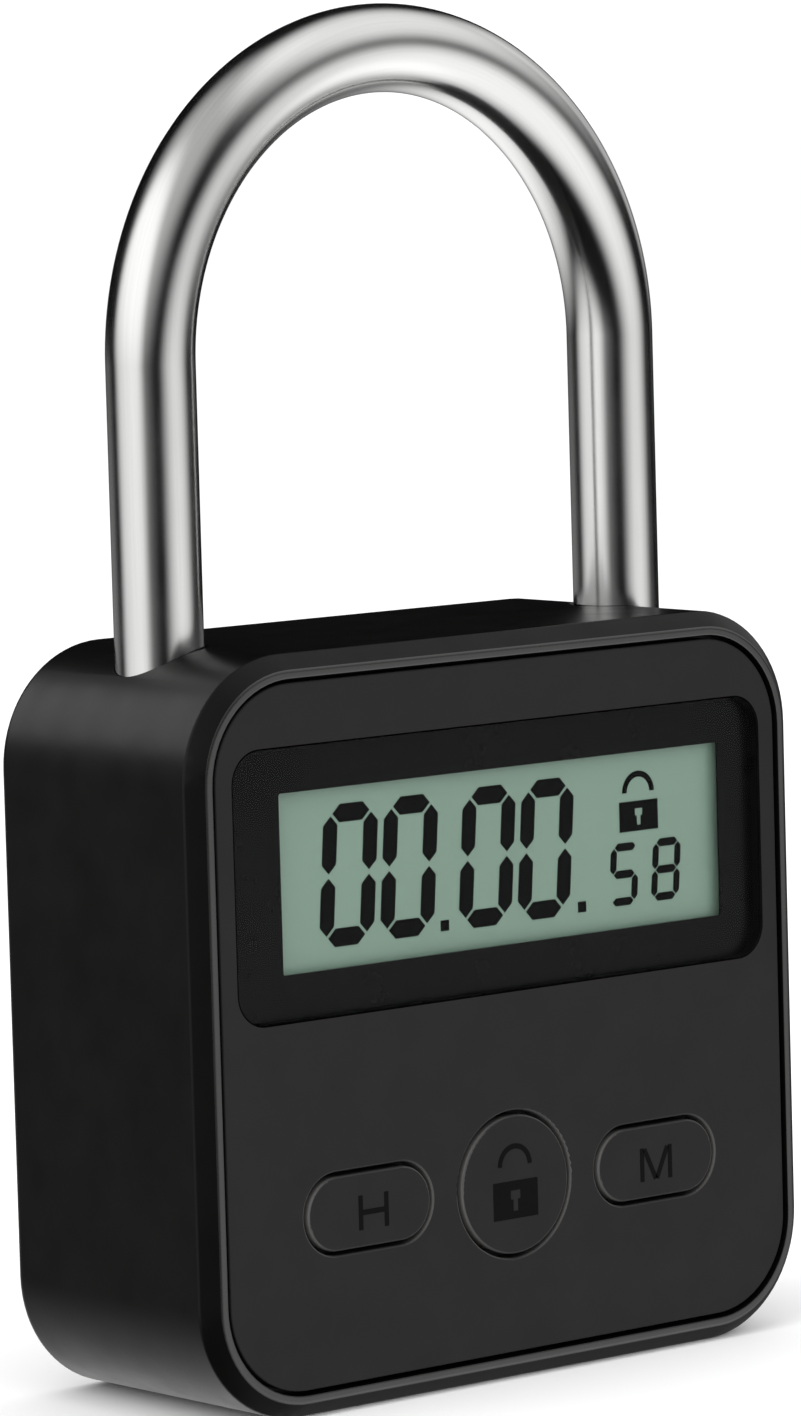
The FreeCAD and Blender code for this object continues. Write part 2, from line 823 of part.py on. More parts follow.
def make_retaining_pin():
    pin = rod_y(pin_radius, pin_x, pin_z, leg_y - bore_radius + pin_end_gap, column_rear_y)
    return pin.makeChamfer(pin_chamfer, flat_edges(pin, column_rear_y))


def biarc(start, start_way, end, end_way):
    """Two arcs that leave start along start_way and reach end along end_way."""
    chord = end - start
    ways = start_way + end_way
    bend = 2 * (1 - start_way.dot(end_way))
    along = chord.dot(ways)
    reach = (-along + math.sqrt(along ** 2 + bend * chord.dot(chord))) / bend
    middle = (start + end + (start_way - end_way) * reach) * 0.5
    corners = [(start, start + start_way * reach, middle), (middle, end - end_way * reach, end)]
    edges = []
    for first, corner, last in corners:
        base = (first + last) * 0.5
        half_chord = (last - first).Length / 2
        rise = (corner - base).Length
        sagitta = half_chord * math.tan(math.atan2(rise, half_chord) / 2)
        top = base + (corner - base) * (sagitta / rise)
        edges.append(Part.Arc(first, top, last).toShape())
    return edges


def helix_point(turn, climb, z_from):
    angle = 2 * math.pi * turn
    across = spring_mean_radius * math.cos(angle)
    away = spring_mean_radius * math.sin(angle)
    way = V(-away, across, climb / (2 * math.pi))
    return V(across, away, z_from + climb * turn), way.normalize()


def make_shackle_spring():
    """Compression spring under the long leg, one unbroken wire."""
    climb = (spring_length - spring_wire) / spring_turns
    z_from = long_bore_z + spring_wire / 2
    edges = []
    for step in range(arcs_per_turn * spring_turns):
        start, start_way = helix_point(step / arcs_per_turn, climb, z_from)
        end, end_way = helix_point((step + 1) / arcs_per_turn, climb, z_from)
        edges = edges + biarc(start, start_way, end, end_way)
    start, start_way = helix_point(0, climb, z_from)
    profile = Part.Wire(Part.Circle(start, start_way, spring_wire / 2).toShape())
    wire = Part.Wire(edges).makePipeShell([profile], True, False)
    wire.translate(V(-leg_x, leg_y, 0))
    print("spring least gap between turns", round(spring_gap(climb), 2))
    return wire


def spring_gap(climb):
    """Least clear distance between the wire and its next turn."""
    here = helix_point(0, climb, 0)[0]
    steps = 100
    turns = [0.5 + step / steps for step in range(steps)]
    return min((helix_point(turn, climb, 0)[0] - here).Length for turn in turns) - spring_wire


def rack_gap(x_mid):
    """One gap of the rack: a straight-sided trapezium."""
    half_pitch_gap = pitch / 4 + gear_backlash / 4
    lean = math.tan(math.radians(pressure_angle))
    mouth_y = rack_tip_y + rack_mouth
    half_root = half_pitch_gap - (rack_pitch_y - rack_root_y) * lean
    half_mouth = half_pitch_gap + (mouth_y - rack_pitch_y) * lean
    z = bolt_bottom_z - OVERRUN
    points = [V(x_mid - half_root, rack_root_y, z), V(x_mid + half_root, rack_root_y, z)]
    points = points + [V(x_mid + half_mouth, mouth_y, z), V(x_mid - half_mouth, mouth_y, z)]
    return Part.Face(Part.makePolygon(points + [points[0]])).extrude(V(0, 0, bolt_height + 2 * OVERRUN))


def make_latch_bolt():
    """Sliding bolt: wide tip for the notch, slim toothed tail beside the pinion."""
    tip_back_x = bolt_tip_x - bolt_tip_length
    half = bolt_width / 2
    tip = box(tip_back_x, bolt_tip_x, leg_y - half, leg_y + half, bolt_bottom_z, bolt_top_z)
    nose = [e for e in tip.Edges if e.BoundBox.XMin > bolt_tip_x - EDGE_REACH]
    tip = tip.makeChamfer(bolt_edge, nose)
    x_from = tip_back_x - bolt_tail
    x_to = tip_back_x + tail_overlap
    tail = box(x_from, x_to, bolt_front_y, rack_tip_y, bolt_bottom_z, bolt_top_z)
    for index in range(-rack_gaps_left, rack_gaps_right + 1):
        tail = tail.cut(rack_gap(pinion_x + index * pitch))
    return tip.fuse(tail).removeSplitter()


def flank_points(side, tooth_middle):
    """Points up one involute flank, from the base circle to the tip."""
    base_radius = pitch_radius * math.cos(math.radians(pressure_angle))
    at_pitch = math.tan(math.radians(pressure_angle)) - math.radians(pressure_angle)
    half_tooth = (pitch / 2 - gear_backlash / 2) / 2 / pitch_radius
    top = math.sqrt((tip_radius / base_radius) ** 2 - 1)
    points = []
    for step in range(flank_steps + 1):
        roll = top * step / flank_steps
        radius = base_radius * math.sqrt(1 + roll * roll)
        swing = half_tooth + at_pitch - (roll - math.atan(roll))
        angle = tooth_middle + side * swing
        points.append(V(radius * math.cos(angle), radius * math.sin(angle), 0))
    return points


def polar(radius, angle):
    return V(radius * math.cos(angle), radius * math.sin(angle), 0)


def gear_face():
    """Outline of the pinion, one tooth pointing at the rack."""
    edges = []
    step = 2 * math.pi / gear_teeth
    for tooth in range(gear_teeth):
        middle = -math.pi / 2 + tooth * step
        rising = flank_points(-1, middle)
        falling = flank_points(1, middle)
        falling.reverse()
        foot_in = math.atan2(rising[0].y, rising[0].x)
        foot_out = math.atan2(falling[-1].y, falling[-1].x)
        edges.append(Part.LineSegment(polar(root_radius, foot_in), rising[0]).toShape())
        edges.append(spline(rising))
        edges.append(Part.Arc(rising[-1], polar(tip_radius, middle), falling[0]).toShape())
        edges.append(spline(falling))
        edges.append(Part.LineSegment(falling[-1], polar(root_radius, foot_out)).toShape())
        next_rising = flank_points(-1, middle + step)[0]
        next_foot = math.atan2(next_rising.y, next_rising.x)
        root_ends = [polar(root_radius, turn) for turn in (foot_out, middle + step / 2, next_foot)]
        edges.append(Part.Arc(*root_ends).toShape())
    return Part.Face(Part.Wire(edges))


def spline(points):
    curve = Part.BSplineCurve()
    curve.interpolate(points)
    return curve.toShape()


def shaft_section(radius, flat, z_from, z_to):
    """Round shaft with a flat along one side."""
    shaft = rod_z(radius, pinion_x, pinion_y, z_from, z_to)
    reach = radius + OVERRUN
    flat_y = pinion_y + radius - flat
    z_ends = (z_from - OVERRUN, z_to + OVERRUN)
    return shaft.cut(box(pinion_x - reach, pinion_x + reach, flat_y, pinion_y + reach, *z_ends))


def make_drive_pinion():
    gear = gear_face().extrude(V(0, 0, bolt_height - 2 * pinion_end_gap))
    gear_z = bolt_bottom_z + pinion_end_gap
    gear.translate(V(pinion_x, pinion_y, gear_z))
    hub = rod_z(hub_radius, pinion_x, pinion_y, bracket_top_z + pinion_end_gap, gear_z + BITE)
    bore = shaft_section(shaft_radius, shaft_flat, bracket_top_z, bolt_top_z + OVERRUN)
    return gear.fuse(hub).cut(bore).removeSplitter()


def make_gear_shaft():
    """Output shaft: round in the gearbox, with a flat where the pinion sits."""
    hub_z = bracket_top_z + pinion_end_gap
    round_part = rod_z(shaft_radius, pinion_x, pinion_y, gearbox_top_z - shaft_in_gearbox, hub_z)
    flat_part = shaft_section(shaft_radius, shaft_flat, hub_z, bolt_top_z - pinion_end_gap)
    return round_part.fuse(flat_part).removeSplitter()


def make_gearbox():
    """Gear case: a block between two end plates, bored for the output shaft."""
    half_x = motor_width / 2
    half_y = motor_depth / 2
    corner = gearbox_corner
    middle = (pinion_x, pinion_y)
    in_x = half_x - gearbox_inset
    in_y = half_y - gearbox_inset
    case = upright(in_x, in_y, corner, gearbox_bottom_z, gearbox_top_z, *middle)
    for z in (gearbox_bottom_z, gearbox_top_z - gearbox_plate):
        case = case.fuse(upright(half_x, half_y, corner, z, z + gearbox_plate, *middle))
    bore_z = gearbox_top_z - shaft_in_gearbox - gearbox_bore_end_gap
    case = case.cut(rod_z(shaft_radius + running_gap, *middle, bore_z, gearbox_top_z + OVERRUN))
    return case.removeSplitter()


def make_motor():
    """Round can with two flats, and a stepped end cap with two solder tags."""
    can = rod_z(motor_width / 2, pinion_x, pinion_y, motor_bottom_z, gearbox_bottom_z)
    x_from = pinion_x - motor_width
    y_from = pinion_y - motor_depth / 2
    slab = Part.makeBox(2 * motor_width, motor_depth, motor_height, V(x_from, y_from, motor_bottom_z))
    can = can.common(slab)
    cap_z = motor_bottom_z - motor_cap_height
    cap = rod_z(motor_cap_radius, pinion_x, pinion_y, cap_z, motor_bottom_z + BITE)
    cap = cap.makeChamfer(motor_cap_chamfer, level_edges(cap, cap_z))
    motor = can.fuse(cap)
    half_w = motor_tag_width / 2
    half_t = motor_tag_thickness / 2
    for side in (-1, 1):
        x = pinion_x + side * motor_cap_radius * motor_tag_spread
        y_ends = (pinion_y - half_t, pinion_y + half_t)
        tag = box(x - half_w, x + half_w, *y_ends, cap_z - motor_tag_length, motor_bottom_z)
        motor = motor.fuse(tag)
    return motor.removeSplitter()


def bracket_span():
    """Left and right ends of the bracket."""
    left = pinion_x - motor_width / 2 - running_gap - bracket_left_reach
    return left, column_inner_x - bracket_side_gap


def make_motor_bracket():
    """Moulded bracket: plate over the gearbox, side arms, screw feet, bolt channel."""
    x_left, x_right = bracket_span()
    half_x = motor_width / 2 + running_gap
    y_back = web_rear_y + bracket_foot
    y_arm = web_rear_y + bracket_arm_reach
    z_foot = bracket_foot_z
    piece = box(x_left, x_right, web_rear_y, y_arm + bracket_lip, gearbox_top_z, bracket_top_z)
    piece = piece.fuse(box(x_left, pinion_x - half_x, web_rear_y, y_back, z_foot, gearbox_top_z))
    piece = piece.fuse(box(pinion_x + half_x, x_right, web_rear_y, y_back, z_foot, gearbox_top_z))
    for x in (pinion_x - half_x - bracket_arm, pinion_x + half_x):
        piece = piece.fuse(box(x, x + bracket_arm, web_rear_y, y_arm, z_foot, gearbox_top_z))
    piece = piece.fuse(bolt_channel(x_left, x_right))
    z_ends = (gearbox_top_z - OVERRUN, bracket_top_z + OVERRUN)
    piece = piece.cut(rod_z(shaft_radius + slide_gap, pinion_x, pinion_y, *z_ends))
    y_ends = (web_rear_y - OVERRUN, y_back + OVERRUN)
    for x, z in bracket_screw_places():
        piece = piece.cut(rod_y(bracket_screw_radius + slide_gap, x, z, *y_ends))
    return piece.removeSplitter()


def bolt_channel(x_left, x_right):
    """Rail under the tail and a three-sided channel round the bolt's tip."""
    rail_top = bolt_bottom_z - running_gap
    rail = box(x_left, x_right, web_rear_y, rack_root_y, bracket_top_z, rail_top)
    x_from = bolt_tip_x - bolt_tip_length + channel_start
    half = bolt_width / 2 + running_gap
    floor = box(x_from, x_right, web_rear_y, leg_y + half + bracket_arm, bracket_top_z, rail_top)
    front_from = bolt_tip_x - bolt_tip_length + tail_overlap + bolt_throw + slide_gap
    front = box(front_from, x_right, web_rear_y, leg_y - half, bracket_top_z, bolt_top_z)
    back = box(x_from, x_right, leg_y + half, leg_y + half + bracket_arm, bracket_top_z, bolt_top_z)
    return rail.fuse(floor).fuse(front).fuse(back)


def make_bracket_screws():
    screws = []
    y_seat = web_rear_y + bracket_foot
    y_top = y_seat + bracket_screw_head_height
    for x, z in bracket_screw_places():
        head = rod_y(bracket_screw_head, x, z, y_seat, y_top)
        head = head.makeChamfer(screw_head_chamfer, flat_edges(head, y_top))
        shank = rod_y(bracket_screw_radius, x, z, web_front_y + screw_end_gap, y_seat + BITE)
        screws.append(head.fuse(shank).removeSplitter())
    return Part.makeCompound(screws)


def make_battery():
    """Flat pouch cell with a folded tab end, taped to the web."""
    x_mid = battery_left_x + battery_width / 2
    y_from = web_rear_y + seat_gap
    y_mid = y_from + battery_depth / 2
    z_top = battery_top_z
    half_x = battery_width / 2
    half_y = battery_depth / 2
    cell = upright(half_x, half_y, battery_round, battery_bottom_z, z_top, x_mid, y_mid)
    ends = level_edges(cell, battery_bottom_z) + level_edges(cell, z_top)
    cell = cell.makeChamfer(battery_end_chamfer, ends)
    half_tab = half_x - battery_round
    z_ends = (z_top - battery_tab_length, z_top + battery_tab_length)
    tab = box(x_mid - half_tab, x_mid + half_tab, y_from, y_from + battery_tab_depth, *z_ends)
    return cell.fuse(tab).removeSplitter()


def make_rear_cover():
    cover = inset_plate(cover_in, cover_inner_y, cover_outer_y)
    cover = cover.makeChamfer(cover_chamfer, flat_edges(cover, cover_outer_y))
    hole_radius = cover_screw_radius + cover_screw_hole_gap
    y_ends = (cover_inner_y - OVERRUN, cover_outer_y + OVERRUN)
    for x, z in cover_screw_places():
        cover = cover.cut(rod_y(hole_radius, x, z, *y_ends))
        cover = cover.cut(screw_cone(x, z))
    return cover


def screw_cone(x, z):
    """Countersink, also the screw head's own form."""
    low = cover_screw_radius
    height = cover_screw_head_height
    return Part.makeCone(low, cover_screw_head_radius, height, V(x, cover_outer_y - height, z), V(0, 1, 0))


def make_cover_screws():
    screws = []
    half_w = screw_recess_width / 2
    half_l = screw_recess_length / 2
    y_ends = (cover_outer_y - screw_recess_depth, cover_outer_y + OVERRUN)
    y_low = cover_outer_y - cover_screw_length
    y_high = cover_outer_y - cover_screw_head_height + BITE
    for x, z in cover_screw_places():
        screw = screw_cone(x, z).fuse(rod_y(cover_screw_radius, x, z, y_low, y_high))
        for half_x, half_z in ((half_w, half_l), (half_l, half_w)):
            screw = screw.cut(box(x - half_x, x + half_x, *y_ends, z - half_z, z + half_z))
        screws.append(screw.removeSplitter())
    return Part.makeCompound(screws)


def main():
    os.makedirs("parts", exist_ok=True)
    save("body_shell", make_body_shell())
    save("front_panel", make_front_panel())
    save("display_lens", make_display_lens())
    save("display_mask", make_display_mask())
    save("lcd_glass", make_lcd_glass())
    save("lcd_backlight", make_lcd_backlight())
    save("lcd_frame", make_lcd_frame())
    save("contact_strip", make_contact_strip())
    save("main_board", make_main_board())
    save("controller_chip", make_controller_chip())
    save("board_components", make_board_components())
    save("tact_switches", make_tact_switches())
    for kind in ("hour", "lock", "minute"):
        save(kind + "_button", make_button(kind))
        save(kind + "_switch_plunger", make_plunger(kind))
    save("board_screws", make_board_screws())
    save("charge_socket", make_charge_socket())
    save("shackle", make_shackle())
    save("retaining_pin", make_retaining_pin())
    save("shackle_spring", make_shackle_spring())
    save("latch_bolt", make_latch_bolt())
    save("drive_pinion", make_drive_pinion())
    save("gear_shaft", make_gear_shaft())
    save("gearbox", make_gearbox())
    save("motor", make_motor())
    save("motor_bracket", make_motor_bracket())
    save("bracket_screws", make_bracket_screws())
    save("battery", make_battery())
    save("rear_cover", make_rear_cover())
    save("cover_screws", make_cover_screws())


main()
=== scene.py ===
import json
import math
from collections import namedtuple

import bmesh
import bpy
from bpy.props import FloatProperty, FloatVectorProperty, IntProperty, PointerProperty, StringProperty
from mathutils import Matrix, Quaternion, Vector


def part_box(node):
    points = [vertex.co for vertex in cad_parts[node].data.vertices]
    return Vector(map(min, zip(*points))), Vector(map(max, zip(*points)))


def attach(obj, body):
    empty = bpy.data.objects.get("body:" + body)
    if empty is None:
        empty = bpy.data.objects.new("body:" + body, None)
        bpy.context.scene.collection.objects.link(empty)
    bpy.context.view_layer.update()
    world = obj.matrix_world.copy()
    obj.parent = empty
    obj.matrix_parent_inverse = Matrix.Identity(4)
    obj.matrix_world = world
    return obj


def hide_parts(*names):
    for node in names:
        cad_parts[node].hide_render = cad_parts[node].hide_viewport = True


bl_info = {
    "name": "Countdown padlock",
    "version": (1, 0, 0),
    "blender": (4, 5, 0),
    "location": "3D View > Sidebar > Padlock",
    "description": "Dresses the packed frame of a countdown padlock and lights it",
    "category": "Object",
}

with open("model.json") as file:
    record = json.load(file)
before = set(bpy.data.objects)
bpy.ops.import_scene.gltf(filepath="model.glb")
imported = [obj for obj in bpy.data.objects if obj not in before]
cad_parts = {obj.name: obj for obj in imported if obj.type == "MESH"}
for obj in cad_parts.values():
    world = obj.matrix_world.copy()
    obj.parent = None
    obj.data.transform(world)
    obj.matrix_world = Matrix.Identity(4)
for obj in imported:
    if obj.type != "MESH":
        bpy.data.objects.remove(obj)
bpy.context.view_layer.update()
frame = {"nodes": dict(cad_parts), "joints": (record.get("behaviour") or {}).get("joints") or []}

# All lengths are in metres. X runs right, the front faces -Y, Z is up.
MM = 0.001
MERGE_REACH = 1e-7
SHELL_LOW, SHELL_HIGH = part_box("body_shell")
ROD_LOW, ROD_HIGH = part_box("shackle")
CELL_LOW, CELL_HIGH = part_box("lcd_glass")
ROD_RADIUS = (ROD_HIGH[1] - ROD_LOW[1]) / 2
LEG_X = ROD_HIGH[0] - ROD_RADIUS
LEG_Y = (ROD_LOW[1] + ROD_HIGH[1]) / 2
BOW_Z = ROD_HIGH[2] - LEG_X - ROD_RADIUS
BUTTON_KINDS = ("hour", "lock", "minute")
UPRIGHT = math.radians(90)


# Settings


class HousingSettings(bpy.types.PropertyGroup):
    """Look of the casting, the front panel and the rear cover."""

    edge_softness: FloatProperty(
        name="Edge softness",
        description="Width of the rounding on the casting's sharp edges",
        default=0.16 * MM,
        min=0.0,
        unit="LENGTH",
    )
    casting_colour: FloatVectorProperty(
        name="Casting colour",
        description="Powder coat on the casting",
        default=(0.0022, 0.0022, 0.0021),
        subtype="COLOR",
    )
    panel_colour: FloatVectorProperty(
        name="Panel colour",
        description="Matt plastic of the front panel and the buttons",
        default=(0.0092, 0.0083, 0.0087),
        subtype="COLOR",
    )
    # Lighter colour on the rounded edges round the buttons: a painted highlight.
    edge_highlight_colour: FloatVectorProperty(
        name="Edge highlight colour",
        description="Plastic on the rounded edges, lightened as a painted highlight",
        default=(0.095, 0.093, 0.09),
        subtype="COLOR",
    )
    mark_colour: FloatVectorProperty(
        name="Mark colour",
        description="Print on the buttons",
        default=(0.003, 0.0027, 0.0027),
        subtype="COLOR",
    )


class ShackleSettings(bpy.types.PropertyGroup):
    """Form and finish of the bent rod."""

    rod_segments: IntProperty(
        name="Rod segments",
        description="Sides of the rod's round section",
        default=64,
        min=12,
    )
    bow_steps: IntProperty(
        name="Bow steps",
        description="Steps round the half circle of the bow",
        default=96,
        min=12,
    )
    steel_colour: FloatVectorProperty(
        name="Steel colour",
        description="Polished and plated steel",
        default=(0.78, 0.78, 0.77),
        subtype="COLOR",
    )


class DisplaySettings(bpy.types.PropertyGroup):
    """Figures and colours of the segment display."""

    hours: StringProperty(
        name="Hours",
        description="Two large figures on the left",
        default="00",
    )
    minutes: StringProperty(
        name="Minutes",
        description="Two large figures in the middle",
        default="00",
    )
    seconds: StringProperty(
        name="Seconds",
        description="Two small figures on the right",
        default="58",
    )
    slant: FloatProperty(
        name="Slant",
        description="Lean of the figures to the right",
        default=math.radians(4.6),
        subtype="ANGLE",
    )
    cell_colour: FloatVectorProperty(
        name="Cell colour",
        description="Grey-green of the reflective cell",
        default=(0.189, 0.288, 0.227),
        subtype="COLOR",
    )
    figure_colour: FloatVectorProperty(
        name="Figure colour",
        description="Darkened segments",
        default=(0.0008, 0.0009, 0.0009),
        subtype="COLOR",
    )


class StageSettings(bpy.types.PropertyGroup):
    """Floor, lamps and surroundings."""

    floor_colour: FloatVectorProperty(
        name="Floor colour",
        description="Plain pale floor",
        default=(0.9, 0.9, 0.9),
        subtype="COLOR",
    )
    left_power: FloatProperty(
        name="Left lamp",
        description="Power of the broad lamp on the left",
        default=4.6,
        unit="POWER",
    )
    right_power: FloatProperty(
        name="Right lamp",
        description="Power of the broad lamp on the right",
        default=3.4,
        unit="POWER",
    )
    top_power: FloatProperty(
        name="Top lamp",
        description="Power of the lamp overhead",
        default=1.6,
        unit="POWER",
    )
    corner_power: FloatProperty(
        name="Corner lamp",
        description="Power of the lamp that draws the highlight round the casting's corners",
        default=2.2,
        unit="POWER",
    )
    backdrop: FloatProperty(
        name="Backdrop",
        description="Brightness of the white room",
        default=1.12,
        min=0.0,
    )
    surround: FloatProperty(
        name="Reflected room",
        description="Brightness of the room in glossy surfaces, between the lamps",
        default=0.005,
        min=0.0,
    )


SETTINGS = {
    "padlock_housing": HousingSettings,
    "padlock_shackle": ShackleSettings,
    "padlock_display": DisplaySettings,
    "padlock_stage": StageSettings,
}


# Materials


def new_finish(name, colour, roughness, metallic=0.0, shine=0.5):
    """Material with its surface shader; returns both. Shine is the specular level."""
    finish = bpy.data.materials.new(name)
    finish.use_nodes = True
    shader = finish.node_tree.nodes["Principled BSDF"]
    shader.inputs["Base Color"].default_value = (*colour, 1.0)
    shader.inputs["Roughness"].default_value = roughness
    shader.inputs["Metallic"].default_value = metallic
    shader.inputs["Specular IOR Level"].default_value = shine
    return finish, shader


def add_node(owner, kind, **values):
    """Adds a node to a material or to the world."""
    node = owner.node_tree.nodes.new(kind)
    for key, value in values.items():
        setattr(node, key, value)
    return node


def join(owner, out, into):
    owner.node_tree.links.new(out, into)


def place_on_piece(finish, stretch=(1.0, 1.0, 1.0)):
    """Object coordinates, stretched for grain that runs one way."""
    where = add_node(finish, "ShaderNodeTexCoord")
    mapping = add_node(finish, "ShaderNodeMapping")
    mapping.inputs["Scale"].default_value = stretch
    join(finish, where.outputs["Object"], mapping.inputs["Vector"])
    return mapping.outputs["Vector"]


def noise(finish, vector, scale, detail=3.0):
    texture = add_node(finish, "ShaderNodeTexNoise")
    texture.inputs["Scale"].default_value = scale
    texture.inputs["Detail"].default_value = detail
    join(finish, vector, texture.inputs["Vector"])
    return texture.outputs["Fac"]


def spread(owner, value, low, high, from_low=0.3, from_high=0.7, curve="LINEAR"):
    """Maps a value to low and high; a pattern spans little more than the middle of its range."""
    mapped = add_node(owner, "ShaderNodeMapRange", interpolation_type=curve)
    for key, number in (("From Min", from_low), ("From Max", from_high), ("To Min", low), ("To Max", high)):
        mapped.inputs[key].default_value = number
    join(owner, value, mapped.inputs["Value"])
    return mapped.outputs["Result"]


def blend_colours(finish, factor, first, second):
    mix = add_node(finish, "ShaderNodeMix", data_type="RGBA")
    mix.inputs["A"].default_value = (*first, 1.0)
    mix.inputs["B"].default_value = (*second, 1.0)
    join(finish, factor, mix.inputs["Factor"])
    return mix.outputs["Result"]


def add_bump(finish, shader, height, strength, depth):
    bump = add_node(finish, "ShaderNodeBump")
    bump.inputs["Strength"].default_value = strength
    bump.inputs["Distance"].default_value = depth
    join(finish, height, bump.inputs["Height"])
    join(finish, bump.outputs["Normal"], shader.inputs["Normal"])


def shaded(colour, factor):
    return tuple(min(1.0, part * factor) for part in colour)


def vary_colour(finish, shader, pattern, colour, darkest, lightest):
    """Lets the colour drift with a pattern; darkest and lightest are factors of it."""
    shades = blend_colours(finish, pattern, shaded(colour, darkest), shaded(colour, lightest))
    join(finish, shades, shader.inputs["Base Color"])


def vary_gloss(finish, shader, pattern, smoothest, roughest):
    join(finish, spread(finish, pattern, smoothest, roughest), shader.inputs["Roughness"])


# Coats. Grain counts noise cells in a metre.
Coat = namedtuple("Coat", "roughness grain relief shine")
CASTING_COAT = Coat(roughness=0.33, grain=2600.0, relief=0.10, shine=0.17)
LIP_COAT = Coat(roughness=0.28, grain=2600.0, relief=0.06, shine=0.8)
COVER_COAT = Coat(roughness=0.45, grain=2600.0, relief=0.12, shine=0.5)
PANEL_COAT = Coat(roughness=0.6, grain=5200.0, relief=0.12, shine=0.3)
MARK_COAT = Coat(roughness=0.5, grain=5200.0, relief=0.04, shine=0.06)
PLASTIC_COAT = Coat(roughness=0.5, grain=3600.0, relief=0.08, shine=0.5)
CHIP_COAT = PLASTIC_COAT._replace(roughness=0.55)
BRACKET_COAT = PLASTIC_COAT._replace(roughness=0.52)

DRIFT_GRAIN = 60.0
GLOSS_GRAIN = 240.0
COAT_SHADES = (0.88, 1.12)
GLOSS_DROP, GLOSS_RISE = 0.04, 0.05
GRAIN_DEPTH = 0.04 * MM
# The lip's colour is this many times lighter: a painted highlight.
LIP_HIGHLIGHT_LIGHTENING = 5.0
# Face attribute that carries the painted edge highlight.
EDGE_HIGHLIGHT_MARK = "highlighted"

WHITE_PLASTIC = (0.72, 0.72, 0.7)
CREAM_PLASTIC = (0.6, 0.57, 0.48)
GREY_PLASTIC = (0.1, 0.1, 0.1)
CHIP_BLACK = (0.012, 0.012, 0.013)


def coated_finish(name, colour, coat):
    """Powder coat or moulded plastic: fine grain, mottled gloss, faint colour drift."""
    finish, shader = new_finish(name, colour, coat.roughness, shine=coat.shine)
    where = place_on_piece(finish)
    vary_colour(finish, shader, noise(finish, where, DRIFT_GRAIN, detail=2.0), colour, *COAT_SHADES)
    gloss = (coat.roughness - GLOSS_DROP, coat.roughness + GLOSS_RISE)
    vary_gloss(finish, shader, noise(finish, where, GLOSS_GRAIN, detail=4.0), *gloss)
    add_bump(finish, shader, noise(finish, where, coat.grain, detail=2.0), coat.relief, GRAIN_DEPTH)
    return finish


def casting_finish(settings):
    return coated_finish("casting_coat", settings.casting_colour, CASTING_COAT)


def lip_gloss_and_highlight_finish(settings):
    # The smoother, shinier coat is real gloss; the lightened colour is a painted highlight.
    return coated_finish("lip_coat_and_highlight", shaded(settings.casting_colour, LIP_HIGHLIGHT_LIGHTENING), LIP_COAT)


def cover_finish(settings):
    return coated_finish("cover_coat", settings.casting_colour, COVER_COAT)


def mark_finish(settings):
    return coated_finish("mark_print", settings.mark_colour, MARK_COAT)


def moulding_finish(settings):
    """Matt moulded plastic; the faces marked for the edge highlight take a lighter colour, a painted
    highlight.
    """
    finish = coated_finish("matt_moulding", settings.panel_colour, PANEL_COAT)
    shader = finish.node_tree.nodes["Principled BSDF"]
    plain = shader.inputs["Base Color"].links[0].from_socket
    # Faces marked for the edge highlight take the lighter colour: a painted highlight.
    highlighted = add_node(finish, "ShaderNodeAttribute", attribute_name=EDGE_HIGHLIGHT_MARK)
    mix = add_node(finish, "ShaderNodeMix", data_type="RGBA")
    join(finish, highlighted.outputs["Fac"], mix.inputs["Factor"])
    join(finish, plain, mix.inputs["A"])
    mix.inputs["B"].default_value = (*settings.edge_highlight_colour, 1.0)
    join(finish, mix.outputs["Result"], shader.inputs["Base Color"])
    return finish


# Window, print and display


WINDOW_COLOUR = (0.003, 0.0032, 0.0032)
WINDOW_IOR = 1.49
WINDOW_ALPHA = 0.07
WINDOW_GRAIN = 30.0
WINDOW_GLOSS = (0.04, 0.09)


def window_finish():
    """Clear plate: it lets light through and keeps a hard gloss."""
    finish, shader = new_finish("window_acrylic", WINDOW_COLOUR, WINDOW_GLOSS[0])
    shader.inputs["IOR"].default_value = WINDOW_IOR
    shader.inputs["Alpha"].default_value = WINDOW_ALPHA
    vary_gloss(finish, shader, noise(finish, place_on_piece(finish), WINDOW_GRAIN), *WINDOW_GLOSS)
    return finish


PRINT_COLOUR = (0.0012, 0.0012, 0.0012)
PRINT_SHINE = 0.1
PRINT_GRAIN = 400.0
PRINT_GLOSS = (0.26, 0.34)


def mask_finish():
    """Black print behind the window plate."""
    finish, shader = new_finish("mask_print", PRINT_COLOUR, PRINT_GLOSS[0], shine=PRINT_SHINE)
    vary_gloss(finish, shader, noise(finish, place_on_piece(finish), PRINT_GRAIN), *PRINT_GLOSS)
    return finish


FIGURE_SHINE = 0.05
FIGURE_GRAIN = 2000.0
FIGURE_GLOSS = (0.42, 0.5)


def figure_finish(settings):
    colour = settings.figure_colour
    finish, shader = new_finish("display_figure", colour, FIGURE_GLOSS[0], shine=FIGURE_SHINE)
    vary_gloss(finish, shader, noise(finish, place_on_piece(finish), FIGURE_GRAIN), *FIGURE_GLOSS)
    return finish


CELL_ROUGHNESS = 0.38
CELL_GRAIN = 9000.0
CELL_DRIFT_GRAIN = 45.0
CELL_GRAIN_SHARE = 0.45
CELL_SHADES = (0.94, 1.06)
CELL_RELIEF = 0.05
FINE_DEPTH = 0.01 * MM


def cell_finish(settings):
    """Reflective cell: grey-green with a fine grain and a faint drift."""
    colour = tuple(settings.cell_colour)
    finish, shader = new_finish("cell_film", colour, CELL_ROUGHNESS)
    where = place_on_piece(finish)
    grain = noise(finish, where, CELL_GRAIN, detail=2.0)
    drift = noise(finish, where, CELL_DRIFT_GRAIN, detail=1.0)
    both = add_node(finish, "ShaderNodeMath", operation="ADD")
    join(finish, spread(finish, grain, 0.0, CELL_GRAIN_SHARE), both.inputs[0])
    join(finish, spread(finish, drift, 0.0, 1.0 - CELL_GRAIN_SHARE), both.inputs[1])
    vary_colour(finish, shader, both.outputs["Value"], colour, *CELL_SHADES)
    add_bump(finish, shader, grain, CELL_RELIEF, FINE_DEPTH)
    return finish


